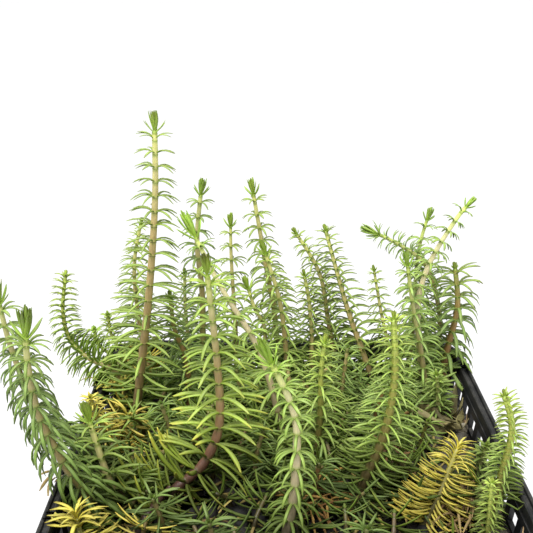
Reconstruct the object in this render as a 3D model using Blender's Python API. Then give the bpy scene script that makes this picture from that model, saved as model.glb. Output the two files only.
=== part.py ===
"""Marestail in a square mesh aquatic basket, about 130 x 113 x 189 mm.

Every size below is in millimetres and is turned to metres when a mesh is made.
The origin is the centre of the basket's underside, +Z is up and -Y is the front.
"""

import math
import random
from typing import NamedTuple

import bmesh
import bpy
import numpy as np
from mathutils import Matrix, Vector

MM = 0.001
GAP = 0.3  # clearance between pieces that rest on or in each other

# Basket
RIM_TOP = 110.0
RIM_HALF = 55.0
LIP_WIDTH = 3.0
LIP_HEIGHT = 3.6
RIDGE_WIDTH = 1.1
GROOVE_DEPTH = 0.7
BASE_HALF = 41.0
WALL_TOP_HALF = 53.3
WALL = 1.3
FLOOR = 2.0
CORNER = 9.0  # outer corner radius under the rim
CORNER_STEPS = 4

# Openings in the basket
SLOT_COLUMNS = 6
SLOT_BARS = 2.6  # upright bar between two slots
SLOT_ROWS = ((8.0, 38.0), (42.0, 72.0), (76.0, 105.4))
FLOOR_SLOT = (30.0, 5.0)  # length and width
FLOOR_SLOT_OFFSETS = (18.0, 28.0)

# Fill
SOIL_TOP = 95.0
GRAVEL_TOP = 100.5
FILL_CHAMFER = 1.2

# Shoots
TIER_STEP = 8.0
LEAF_POINTS = 5
NOTCH = 0.4  # how deep the notches between two leaves reach, as a share of the leaf
FIRST_TIER = 4.0
BUD_LENGTH = 6.5
BUD_GIRTH = 2.2  # the bud's radius over the stem's
YOUNG_LIFT = math.radians(50)
OLD_LIFT = math.radians(-12)
LEAF_CLEARANCE = 0.5  # half the least distance between two shoots' leaves
RIM_CLEARANCE = 1.0
STONE_CLEARANCE = 0.8
LEAST_REACH = 2.2
SPINE_STEP = 1.5


class Stone(NamedTuple):
    """A stone on the gravel: place, half sizes, turn in degrees and colour."""

    place: tuple
    half: tuple
    turn: float
    colour: tuple


class Shoot(NamedTuple):
    """A shoot: stem radius at its foot, leaf length, foot and the points it passes, tip last."""

    radius: float
    leaf: float
    foot: tuple
    route: tuple
    tone: str = "green"


BEIGE, GREY, PALE, PINK = (0.50, 0.45, 0.32), (0.17, 0.18, 0.17), (0.55, 0.53, 0.45), (0.50, 0.34, 0.28)
STONES = (
    Stone((48.3, 41.2), (2.2, 2.2, 2.0), 20, BEIGE),
    Stone((47.3, 30.6), (3.2, 2.9, 2.6), -35, GREY),
    Stone((48.1, 22.6), (2.3, 2.2, 2.0), 60, GREY),
    Stone((48.4, 15.4), (2.1, 1.9, 1.7), 10, PALE),
    Stone((-40.4, 1.6), (2.4, 2.0, 1.7), 40, PINK),
    Stone((46.8, -29.6), (3.3, 2.6, 1.7), -10, BEIGE),
    Stone((23.0, 44.4), (2.8, 2.3, 2.0), 75, PALE),
)

SHOOTS = (
    # Back left, with the tallest shoot
    Shoot(1.3, 8.5, (-43, 20), ((-41, 20, 113), (-37, 20, 139), (-34, 21, 166), (-33, 21, 189))),
    Shoot(1.1, 8.0, (-25, 35), ((-24, 36, 132), (-25, 36, 150), (-23, 36, 168)), "dark"),
    Shoot(0.9, 7.0, (-43, 48), ((-45, 48, 124), (-45, 48, 139), (-42, 48, 153))),
    Shoot(0.8, 6.5, (-28, 44), ((-30, 46, 121), (-30, 46, 138)), "dark"),
    Shoot(1.0, 8.0, (-28, 23), ((-28, 25, 118), (-31, 25, 128), (-32, 25, 140)), "brown"),
    Shoot(0.9, 8.0, (-45, 27), ((-49, 29, 112), (-57, 31, 116), (-63, 35, 120),
                                (-65, 38, 128), (-64, 42, 139))),
    Shoot(0.8, 6.0, (-45, 41), ((-48, 41, 111), (-52, 42, 117), (-53, 42, 126))),
    Shoot(0.8, 6.0, (-45, 34), ((-49, 35, 112), (-55, 36, 118), (-56, 36, 124)), "yellow"),
    Shoot(0.8, 6.0, (-46, 5), ((-48, 5, 108), (-50, 5, 114), (-51, 4, 120)), "yellow"),
    # Back middle
    Shoot(1.0, 8.0, (-1, 8), ((-3, 8, 114), (-8, 9, 131), (-17, 10, 147), (-26, 12, 166)), "pale"),
    Shoot(0.8, 7.0, (-15, 44), ((-15, 45, 118), (-16, 46, 141), (-16, 46, 155))),
    Shoot(1.0, 8.0, (-2, 44), ((-3, 45, 122), (-6, 44, 141), (-10, 43, 166))),
    Shoot(0.9, 7.5, (1, 33), ((0, 33, 118), (-2, 32, 134), (-7, 31, 152))),
    Shoot(0.8, 7.0, (-8, 36), ((-6, 37, 121), (-9, 37, 129), (-12, 37, 139))),
    Shoot(0.9, 7.5, (17, 44), ((13, 45, 122), (10, 45, 137), (2, 45, 151))),
    Shoot(0.9, 7.0, (8, 40), ((8, 41, 117), (7, 41, 129), (5, 40, 140))),
    Shoot(1.0, 8.0, (28, 40), ((23, 41, 114), (18, 43, 128), (11, 45, 152))),
    Shoot(0.7, 6.0, (35, 44), ((30, 45, 120), (28, 46, 129), (26, 46, 139))),
    # Back right, where the shoots lean across each other
    Shoot(0.9, 7.5, (46, 45), ((47, 45, 121), (42, 46, 138), (34, 46, 145), (22, 46, 151))),
    Shoot(0.9, 7.5, (42, 29), ((38, 28, 121), (35, 28, 134), (32, 28, 150))),
    Shoot(0.9, 7.0, (38, 46), ((40, 50, 117), (40, 51, 140), (43, 52, 155))),
    Shoot(1.1, 8.5, (42, 36), ((38, 35, 128), (40, 36, 142), (47, 37, 156), (52, 38, 162)), "pale"),
    Shoot(1.3, 9.0, (47, 37), ((48, 38, 114), (50, 38, 129), (48, 38, 143)), "brown"),
    Shoot(0.9, 6.5, (43, 20), ((42, 20, 112), (41, 20, 118)), "dark"),
    # Left front, leaning over the rim
    Shoot(1.0, 8.0, (-46, -6), ((-49, -8, 112), (-58, -12, 121), (-63, -13, 140), (-65, -14, 159))),
    Shoot(1.2, 9.0, (-44, -24), ((-47, -24, 111), (-51, -25, 120), (-55, -25, 132),
                                 (-56, -25, 145), (-55, -25, 157))),
    Shoot(1.1, 9.0, (-39, -15), ((-42, -18, 108), (-45, -17, 119), (-47, -17, 130))),
    Shoot(1.0, 9.0, (-44, -34), ((-46, -33, 105), (-47, -32, 110)), "yellow"),
    # Front, in the middle of the picture
    Shoot(1.2, 9.0, (-33, -16), ((-24, -13, 107), (-20, -11, 111), (-17, -9, 119),
                                 (-17, -9, 134), (-19, -12, 164)), "red"),
    Shoot(1.2, 9.0, (-2, -30), ((0, -29, 110), (1, -27, 123), (0, -26, 134), (-7, -26, 150))),
    Shoot(1.3, 9.5, (17, -15), ((18, -14, 107), (22, -13, 118), (24, -12, 133), (23, -11, 150)), "pale"),
    Shoot(1.0, 8.5, (7, -1), ((8, 0, 117), (8, 1, 128), (9, 2, 138))),
    # Right front
    Shoot(1.2, 7.5, (46, -24), ((47, -24, 108), (47, -25, 116), (48, -25, 128), (45, -25, 138))),
    Shoot(0.9, 5.5, (42, -36), ((42, -35, 112), (42, -34, 122))),
    Shoot(1.1, 8.5, (31, -23), ((34, -21, 106), (36, -19, 110), (39, -16, 117)), "yellow"),
    Shoot(0.8, 6.0, (45, -8), ((47, -9, 108), (48, -10, 115)), "dark"),
    # Low growth between the tall shoots
    Shoot(0.9, 8.0, (-13, 22), ((-13, 22, 110), (-14, 21, 119))),
    Shoot(0.9, 8.0, (-30, 5), ((-31, 5, 109), (-33, 4, 118))),
    Shoot(0.9, 8.0, (-9, -9), ((-8, -8, 110), (-6, -8, 118))),
    Shoot(0.9, 8.0, (22, 8), ((23, 8, 110), (25, 7, 121)), "brown"),
    Shoot(0.8, 8.0, (34, 3), ((35, 3, 108), (36, 2, 114)), "yellow"),
    Shoot(0.9, 8.0, (15, 24), ((16, 24, 112), (17, 24, 124))),
    Shoot(0.9, 10.0, (-16, -35), ((-17, -36, 107), (-18, -37, 114)), "yellow"),
    Shoot(0.9, 10.0, (14, -37), ((14, -38, 107), (16, -39, 114))),
    Shoot(0.9, 10.0, (29, -40), ((29, -41, 106), (31, -42, 112)), "brown"),
    Shoot(0.9, 10.0, (-33, -44), ((-34, -44, 106), (-36, -44, 112))),
    Shoot(0.9, 10.0, (-3, -45), ((-3, -45, 106), (-4, -45, 112)), "yellow"),
    Shoot(0.9, 10.0, (-29, -29), ((-29, -29, 107), (-31, -30, 115)), "yellow"),
    Shoot(0.9, 10.0, (6, -18), ((6, -18, 109), (7, -18, 116)), "brown"),
    Shoot(0.9, 9.0, (1, 21), ((1, 21, 111), (0, 22, 120))),
)

LEAF_COLOURS = {
    "green": (0.17, 0.33, 0.06),
    "dark": (0.10, 0.22, 0.06),
    "pale": (0.30, 0.42, 0.13),
    "yellow": (0.48, 0.50, 0.08),
    "brown": (0.26, 0.24, 0.07),
    "red": (0.24, 0.30, 0.08),
}


def clear_scene():
    """Removes what a new file holds."""
    for item in list(bpy.data.objects):
        bpy.data.objects.remove(item, do_unlink=True)


def material(name, colour, roughness):
    """A plain finish of one colour."""
    finish = bpy.data.materials.new(name)
    finish.use_nodes = True
    shader = finish.node_tree.nodes["Principled BSDF"]
    shader.inputs["Base Color"].default_value = (*colour, 1.0)
    shader.inputs["Roughness"].default_value = roughness
    shader.inputs["Metallic"].default_value = 0.0
    finish.diffuse_color = (*colour, 1.0)
    return finish


def add_object(name, mesh, collection, finish=None):
    """An object of the mesh, in a collection, with its own finish."""
    item = bpy.data.objects.new(name, mesh)
    collection.objects.link(item)
    if finish:
        mesh.materials.append(finish)
    return item


def wall_half(z):
    """Half the width over the walls' outside at a height."""
    return BASE_HALF + (WALL_TOP_HALF - BASE_HALF) * z / RIM_TOP


def rounded_ring(shape, half, corner, z):
    """A square ring of vertices with rounded corners."""
    centre = half - corner
    verts = []
    for quarter in range(4):
        start = quarter * math.pi / 2
        cx = centre * (1 if quarter in (0, 3) else -1)
        cy = centre * (1 if quarter in (0, 1) else -1)
        for step in range(CORNER_STEPS + 1):
            angle = start + step * math.pi / 2 / CORNER_STEPS
            place = Vector((cx + corner * math.cos(angle), cy + corner * math.sin(angle), z))
            verts.append(shape.verts.new(place * MM))
    return verts


def bridge(shape, lower, upper):
    """Faces between two rings of the same count."""
    for k, vert in enumerate(lower):
        after = (k + 1) % len(lower)
        shape.faces.new((vert, lower[after], upper[after], upper[k]))


def loft(name, sections):
    """A closed solid through square sections (half width, corner radius, height), in order."""
    shape = bmesh.new()
    rings = [rounded_ring(shape, *section) for section in sections]
    for lower, upper in zip(rings, rings[1:]):
        bridge(shape, lower, upper)
    shape.faces.new(rings[0][::-1])
    shape.faces.new(rings[-1])
    mesh = bpy.data.meshes.new(name)
    shape.to_mesh(mesh)
    shape.free()
    return mesh


def basket_sections():
    """The basket's profile: up the outside, over the two ridges of the lip and down the inside."""
    inner = RIM_HALF - LIP_WIDTH
    ridge = RIM_TOP - GROOVE_DEPTH
    under = RIM_TOP - LIP_HEIGHT
    bevel = 0.4
    floor_half = wall_half(FLOOR) - WALL

    def rim(half, z):
        return half, CORNER + half - WALL_TOP_HALF, z

    return (
        (BASE_HALF, CORNER - 1.0, 0.0),
        (wall_half(under), CORNER, under),
        rim(RIM_HALF, under + 0.8),
        rim(RIM_HALF, RIM_TOP - bevel),
        rim(RIM_HALF - bevel, RIM_TOP),
        rim(RIM_HALF - RIDGE_WIDTH, RIM_TOP),
        rim(RIM_HALF - RIDGE_WIDTH - 0.2, ridge),
        rim(inner + RIDGE_WIDTH + 0.2, ridge),
        rim(inner + RIDGE_WIDTH, RIM_TOP),
        rim(inner + bevel, RIM_TOP),
        rim(inner, RIM_TOP - bevel),
        (floor_half, CORNER - 1.0 - WALL, FLOOR),
    )


def box(shape, size, place, turn):
    """A box in the shape, made at the front of the basket and turned about its axis."""
    scale = Matrix.Diagonal((*(side * MM for side in size), 1.0))
    shift = Matrix.Translation(Vector(place) * MM)
    bmesh.ops.create_cube(shape, size=1.0, matrix=Matrix.Rotation(turn, 4, "Z") @ shift @ scale)


def slot_cutters(collection):
    """One cutter of boxes: the slots of four walls and of the floor."""
    shape = bmesh.new()
    deep = 14.0
    for side in range(4):
        turn = side * math.pi / 2
        for low, high in SLOT_ROWS:
            flat = 2 * (wall_half(low) - CORNER)
            pitch = flat / SLOT_COLUMNS
            middle = (low + high) / 2
            for column in range(SLOT_COLUMNS):
                x = (column - (SLOT_COLUMNS - 1) / 2) * pitch
                box(shape, (pitch - SLOT_BARS, deep, high - low), (x, -wall_half(middle), middle), turn)
        for offset in FLOOR_SLOT_OFFSETS:
            box(shape, (*FLOOR_SLOT, 3 * FLOOR), (0, -offset, 0), turn)
    mesh = bpy.data.meshes.new("slot_cutters")
    shape.to_mesh(mesh)
    shape.free()
    cutter = add_object("slot_cutters", mesh, collection)
    cutter.hide_render = True
    cutter.display_type = "WIRE"
    return cutter


def make_basket(parts, cutters):
    """The slotted basket."""
    finish = material("black_plastic", (0.022, 0.023, 0.026), 0.48)
    basket = add_object("basket", loft("basket", basket_sections()), parts, finish)
    cut = basket.modifiers.new("slots", "BOOLEAN")
    cut.operation = "DIFFERENCE"
    cut.solver = "EXACT"
    cut.object = slot_cutters(cutters)


def make_fill(parts, name, low, high, colour):
    """A layer that fills the basket from wall to wall, with its edges broken."""
    def section(z, inset):
        half = wall_half(z) - WALL - GAP - 0.1
        return half - inset, CORNER - WALL - inset, z

    sections = (
        section(low, FILL_CHAMFER),
        section(low + FILL_CHAMFER, 0.0),
        section(high - FILL_CHAMFER, 0.0),
        section(high, FILL_CHAMFER),
    )
    add_object(name, loft(name, sections), parts, material(name, colour, 0.95))


def stone_centre(stone):
    """Where a stone's middle lies when it rests on the gravel."""
    return Vector((*stone.place, GRAVEL_TOP + GAP + stone.half[2]))


def make_stone(parts, number, stone):
    """A worn stone, uneven but no bigger than its half sizes."""
    rng = random.Random(number)
    shape = bmesh.new()
    bmesh.ops.create_uvsphere(shape, u_segments=7, v_segments=5, radius=1.0)
    for vert in shape.verts:
        vert.co *= 1.0 if abs(vert.co.z) > 0.99 else rng.uniform(0.84, 1.0)
    turn = Matrix.Rotation(math.radians(stone.turn), 4, "Z")
    scale = Matrix.Diagonal((*(side * MM for side in stone.half), 1.0))
    shape.transform(Matrix.Translation(stone_centre(stone) * MM) @ turn @ scale)
    name = f"stone_{number:02d}"
    mesh = bpy.data.meshes.new(name)
    shape.to_mesh(mesh)
    shape.free()
    add_object(name, mesh, parts, material(name, stone.colour, 0.85))


def spine_of(shoot):
    """Evenly spaced points on a smooth curve from the shoot's foot to its tip."""
    foot = Vector((*shoot.foot, GRAVEL_TOP + GAP))
    knots = [foot] + [Vector(point) for point in shoot.route]
    ends = [2 * knots[0] - knots[1]] + knots + [2 * knots[-1] - knots[-2]]
    dense = []
    for a, b, c, d in zip(ends, ends[1:], ends[2:], ends[3:]):
        for step in range(24):
            t = step / 24
            dense.append(0.5 * (2 * b + (c - a) * t + (2 * a - 5 * b + 4 * c - d) * t**2
                                + (3 * b - a - 3 * c + d) * t**3))
    dense.append(knots[-1])
    run = np.concatenate([[0.0], np.cumsum([(q - p).length for p, q in zip(dense, dense[1:])])])
    even = np.linspace(0.0, run[-1], max(4, round(run[-1] / SPINE_STEP)) + 1)
    grid = np.array([list(p) for p in dense])
    return np.stack([np.interp(even, run, grid[:, axis]) for axis in range(3)], axis=1)


def beyond_lip(point):
    """How far a point is outside the lip's inner edge, seen from above, and below zero inside it."""
    half = RIM_HALF - LIP_WIDTH
    corner = CORNER + half - WALL_TOP_HALF
    past = [abs(point[axis]) - (half - corner) for axis in range(2)]
    return math.hypot(max(past[0], 0.0), max(past[1], 0.0)) + min(max(past), 0.0) - corner


class Surroundings:
    """What a shoot's leaves keep clear of: the other shoots, the stones, the gravel and the rim."""

    def __init__(self, spines, own):
        self.own = spines[own]
        self.others = np.concatenate([s for i, s in enumerate(spines) if i != own])

    def free(self, point):
        """Whether a leaf may reach a point."""
        p = np.array(point)
        mine = np.linalg.norm(self.own - p, axis=1).min()
        theirs = np.linalg.norm(self.others - p, axis=1).min()
        if theirs - mine < 2 * LEAF_CLEARANCE or p[2] < GRAVEL_TOP + 2 * GAP:
            return False
        if p[2] < RIM_TOP + RIM_CLEARANCE and beyond_lip(p) > -RIM_CLEARANCE:
            return False
        return all((stone_centre(s) - Vector(point)).length > max(s.half) + STONE_CLEARANCE for s in STONES)

    def reach(self, start, direction, leaf):
        """How far a leaf of a given length gets from the stem in one direction."""
        far = LEAST_REACH
        while far < leaf and self.free(start + direction * min(leaf, far + 0.5)):
            far = min(leaf, far + 0.5)
        return far


class ShootLoft:
    """Builds one shoot from its foot to its bud: stem rings, star-shaped tiers and a pointed bud."""

    def __init__(self, shoot, spine, surroundings, rng):
        self.shoot, self.spine, self.around, self.rng = shoot, spine, surroundings, rng
        self.length = float(np.linalg.norm(np.diff(spine, axis=0), axis=1).sum())
        self.shape = bmesh.new()

    def at(self, distance):
        """The point, the direction along the stem and two directions across it."""
        place = min(max(distance / self.length, 0.0), 1.0) * (len(self.spine) - 1)
        low = min(int(place), len(self.spine) - 2)
        a, b = Vector(self.spine[low]), Vector(self.spine[low + 1])
        along = (b - a).normalized() if distance > 0 else Vector((0, 0, 1))
        across = Vector((1, 0, 0)).cross(along).normalized()
        return a.lerp(b, place - low), along, across, along.cross(across)

    def radius(self, distance):
        """The stem's radius, which tapers to the bud."""
        return self.shoot.radius * (1.0 - 0.35 * distance / self.length)

    def ring(self, distance, twist, radius):
        """A ring of vertices round the stem."""
        centre, _, u, v = self.at(distance)
        angles = [twist + k * 2 * math.pi / LEAF_POINTS for k in range(LEAF_POINTS)]
        places = [centre + radius * (math.cos(a) * u + math.sin(a) * v) for a in angles]
        return [self.shape.verts.new(place * MM) for place in places]

    def star(self, distance, twist):
        """The outline of one tier: leaf tips and the notches between them, in turn."""
        centre, along, u, v = self.at(distance)
        share = distance / self.length
        lift = OLD_LIFT + (YOUNG_LIFT - OLD_LIFT) * share**2
        half_step = math.pi / LEAF_POINTS
        tips = []
        for k in range(LEAF_POINTS):
            angle = twist + 2 * k * half_step
            outward = math.cos(angle) * u + math.sin(angle) * v
            direction = math.cos(lift) * outward + math.sin(lift) * along
            tips.append(direction * self.around.reach(centre, direction, self.shoot.leaf))
        outline = []
        for k, tip in enumerate(tips):
            after = tips[(k + 1) % LEAF_POINTS]
            angle = twist + (2 * k + 1) * half_step
            outward = math.cos(angle) * u + math.sin(angle) * v
            notch = max(self.radius(distance) * 1.15, NOTCH * min(tip.length, after.length))
            outline += [centre + tip, centre + outward * notch + along * 0.2 * notch * math.sin(lift)]
        return [self.shape.verts.new(place * MM) for place in outline]

    def flare(self, ring, star, upward):
        """Faces between a stem ring and a tier's outline, seen from above or from below."""
        for k in range(LEAF_POINTS):
            after = (k + 1) % LEAF_POINTS
            tip, notch, next_tip = star[2 * k], star[2 * k + 1], star[2 * after]
            near, far = ring[k], ring[after]
            for face in ((near, tip, notch), (near, notch, far), (far, notch, next_tip)):
                self.shape.faces.new(face if upward else face[::-1])

    def build(self, name):
        """The shoot's mesh."""
        top = self.length - BUD_LENGTH
        tiers = max(1, round((top - FIRST_TIER) / TIER_STEP) + 1)
        step = (top - FIRST_TIER) / max(1, tiers - 1)
        ring = self.ring(0.0, 0.0, self.radius(0.0))
        self.shape.faces.new(ring[::-1])
        for tier in range(tiers):
            distance = top if tiers == 1 else FIRST_TIER + tier * step
            twist = (tier % 2) * math.pi / LEAF_POINTS + self.rng.uniform(-0.2, 0.2)
            star = self.star(distance, twist)
            self.flare(ring, star, upward=False)
            if tier < tiers - 1:
                ring = self.ring(distance + step / 2, twist, self.radius(distance))
            else:
                ring = self.ring(top + 0.3 * BUD_LENGTH, twist, BUD_GIRTH * self.radius(top))
            self.flare(ring, star, upward=True)
        tip = self.shape.verts.new(Vector(self.spine[-1]) * MM)
        for k in range(LEAF_POINTS):
            self.shape.faces.new((ring[k], ring[(k + 1) % LEAF_POINTS], tip))
        mesh = bpy.data.meshes.new(name)
        self.shape.to_mesh(mesh)
        self.shape.free()
        return mesh


def make_shoots(parts):
    """Every shoot, each clear of its neighbours."""
    spines = [spine_of(shoot) for shoot in SHOOTS]
    for number, shoot in enumerate(SHOOTS, 1):
        name = f"shoot_{number:02d}"
        around = Surroundings(spines, number - 1)
        mesh = ShootLoft(shoot, spines[number - 1], around, random.Random(100 + number)).build(name)
        add_object(name, mesh, parts, material(name, LEAF_COLOURS[shoot.tone], 0.6))


def main():
    """Builds the whole part."""
    clear_scene()
    parts = bpy.data.collections.new("marestail")
    cutters = bpy.data.collections.new("cutters")
    for collection in (parts, cutters):
        bpy.context.scene.collection.children.link(collection)
    make_basket(parts, cutters)
    make_fill(parts, "soil", FLOOR + GAP, SOIL_TOP - GAP, (0.045, 0.030, 0.020))
    make_fill(parts, "gravel", SOIL_TOP, GRAVEL_TOP, (0.24, 0.22, 0.18))
    for number, stone in enumerate(STONES, 1):
        make_stone(parts, number, stone)
    make_shoots(parts)


main()
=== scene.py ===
"""Looks of a marestail clump in a square mesh aquatic basket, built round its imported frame.

Lengths are in millimetres until a mesh is made, when MM turns them to metres. The origin is
the centre of the basket's underside, +Z is up and the picture is taken from the -Y side.
"""

import sys
import logging
import math
import random
from collections.abc import Sequence
from dataclasses import dataclass, field, fields, replace
from enum import Enum
from typing import Any

import bmesh
import bpy
import numpy as np
from mathutils import Matrix, Vector, noise


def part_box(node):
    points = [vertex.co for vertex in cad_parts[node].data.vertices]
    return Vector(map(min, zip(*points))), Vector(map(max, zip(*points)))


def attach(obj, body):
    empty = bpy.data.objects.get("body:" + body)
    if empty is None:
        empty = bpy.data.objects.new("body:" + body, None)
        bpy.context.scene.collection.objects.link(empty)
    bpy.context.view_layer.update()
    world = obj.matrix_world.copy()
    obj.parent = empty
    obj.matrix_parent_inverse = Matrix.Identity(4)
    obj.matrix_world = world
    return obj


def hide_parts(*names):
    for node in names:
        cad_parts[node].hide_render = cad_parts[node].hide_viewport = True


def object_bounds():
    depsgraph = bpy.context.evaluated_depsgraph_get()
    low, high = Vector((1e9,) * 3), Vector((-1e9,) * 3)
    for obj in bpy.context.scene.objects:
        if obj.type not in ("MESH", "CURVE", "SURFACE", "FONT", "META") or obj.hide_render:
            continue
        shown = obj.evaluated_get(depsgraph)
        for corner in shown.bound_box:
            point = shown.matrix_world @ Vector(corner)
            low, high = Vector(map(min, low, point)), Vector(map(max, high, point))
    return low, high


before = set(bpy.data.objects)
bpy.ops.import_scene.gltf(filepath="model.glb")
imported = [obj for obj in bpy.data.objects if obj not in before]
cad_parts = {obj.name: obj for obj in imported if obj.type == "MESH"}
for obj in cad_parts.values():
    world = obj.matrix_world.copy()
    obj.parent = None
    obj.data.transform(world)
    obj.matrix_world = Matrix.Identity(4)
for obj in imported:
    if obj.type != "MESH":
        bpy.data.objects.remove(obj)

LOG = logging.getLogger("marestail")
MM = 0.001
FRAME_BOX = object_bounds()  # the lowest and highest corners of the frame's solids, in metres
Place = tuple[float, float, float]
Socket = bpy.types.NodeSocket

# Sizes that the frame's solids have too
GAP = 0.3
RIM_TOP = 110.0
RIM_HALF = 55.0
LIP_WIDTH = 3.0
LIP_HEIGHT = 3.6
BASE_HALF = 41.0
WALL_TOP_HALF = 53.3
WALL = 1.3
CORNER = 9.0
SOIL_TOP = 95.0
GRAVEL_TOP = 100.5


class Tone(Enum):
    """The look of a shoot, from its leaves and its stem together."""

    GREEN = "green"
    DARK = "dark"
    OLIVE = "olive"
    FRESH = "fresh"
    PALE = "pale"
    YELLOW = "yellow"
    BROWN = "brown"
    RED = "red"


class Bend(Enum):
    """How the leaves of a whorl bend."""

    BUD = 0
    ARCHED = 1
    HOOPED = 2
    LONG = 3
    SAGGING = 4


@dataclass(frozen=True)
class Habit:
    """How a shoot carries its whorls.

    The steps between whorls are in millimetres and perk lifts the leaves, in degrees. The rest
    are shares: how far the stem bulges between two low whorls, how dark the bud's tips are,
    how broad the leaves are next to those of most shoots and how much broader the lower ones,
    how far they crowd to the left and the right, how big the bud is, how long the highest
    leaves are and how much longer the lowest, and how far below the tip leaves stop having
    the bend of the highest and start to sag. More is how many leaves a whorl has above the
    usual count, and aged is how much older than its length it looks.
    """

    step_near_tip: float
    step_near_foot: float
    perk: float = 0.0
    beads: float = 0.04
    dusk: float = 0.4
    slim: float = 1.0
    wide: float = 1.0
    sweep: float = 0.35
    bud: float = 1.0
    young: float = 0.5
    gain: float = 1.08
    bend: Bend = Bend.ARCHED
    bent_to: float = 0.5
    sags_from: float = 0.8
    more: int = 0
    aged: float = 0.0


OPEN = Habit(3.4, 5.0, sweep=0.6)
ARCHING = Habit(3.9, 4.6, dusk=0.15, sweep=0.3, gain=0.9, bend=Bend.HOOPED, bent_to=0.8)
HANGING = Habit(3.5, 4.5, perk=-14.0, sweep=0.25, bud=1.15, gain=0.5, bend=Bend.HOOPED, bent_to=1.1,
                sags_from=1.1, more=1)
DROOPING = Habit(3.3, 4.2, perk=-28.0, sweep=0.25, bud=1.3, young=0.6, gain=0.8,
                 bend=Bend.HOOPED, bent_to=1.1, sags_from=1.1, more=2)
TILTED = Habit(3.2, 4.4, perk=-4.0, dusk=0.2, bud=0.7, young=0.42, gain=0.8, bend=Bend.HOOPED, bent_to=0.8)
SPARSE = Habit(4.6, 6.4, perk=-8.0, dusk=0.05, bud=1.5, gain=0.7, bend=Bend.HOOPED)
STEPPED = Habit(1.9, 4.1, perk=6.0, dusk=0.3, sweep=0.5, bud=0.45, young=0.42, gain=1.0, bent_to=0.9)
DENSE = Habit(2.3, 3.3, slim=0.85, bud=0.55, young=0.38, gain=1.1, bent_to=0.8, more=1)
FINE = Habit(1.6, 2.1, perk=8.0, dusk=0.2, slim=0.9, bud=0.42, young=0.46, gain=0.8, more=3)
CLUBBED = Habit(1.9, 2.6, perk=8.0, dusk=0.0, slim=0.8, bud=1.3, young=0.45, gain=0.75)
FEATHERY = Habit(1.4, 1.9, perk=4.0, slim=0.7, sweep=0.5, bud=0.4, young=0.42, gain=0.5, bent_to=0.7, more=1)
LEAFY = Habit(1.8, 2.8, beads=0.14, slim=0.7, sweep=0.45, bud=0.4, young=0.4, gain=0.85,
              sags_from=0.7, more=2)
CROWDED = Habit(1.0, 1.2, perk=-8.0, slim=0.8, sweep=0.5, bud=0.0, young=0.6, gain=0.7, sags_from=0.3, more=1)
BLUNT = Habit(1.2, 1.4, perk=-8.0, slim=1.2, bud=0.0, young=0.75, gain=0.35, sags_from=0.3, more=2)
BROAD = Habit(3.2, 4.2, perk=-16.0, dusk=0.1, wide=1.4, bud=0.4, young=0.85, gain=0.5, bent_to=0.7)
BEADED = Habit(4.6, 3.5, beads=0.22, dusk=0.8, wide=1.35, sweep=0.55, gain=1.3)
LOW = Habit(1.9, 2.3, perk=-24.0, slim=0.8, sweep=0.6, bud=0.25, young=0.55, gain=0.6,
            sags_from=0.3, aged=0.25)
SPRIG = Habit(2.0, 2.4, perk=-18.0, slim=0.8, sweep=0.6, bud=0.2, young=0.7, gain=0.5,
              sags_from=0.2, aged=0.3)
RUNNER = Habit(2.6, 3.2, perk=-10.0, beads=0.3, sweep=0.8, bud=0.0, young=1.0, gain=0.3,
               sags_from=0.0, more=-2, aged=0.8)


@dataclass(frozen=True)
class Shoot:
    """One shoot: where it grows and how it looks. Its route ends at its tip, as in the frame."""

    radius: float
    leaf: float
    foot: tuple[float, float]
    route: tuple[Place, ...]
    tone: Tone = Tone.GREEN
    habit: Habit = LOW


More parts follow.
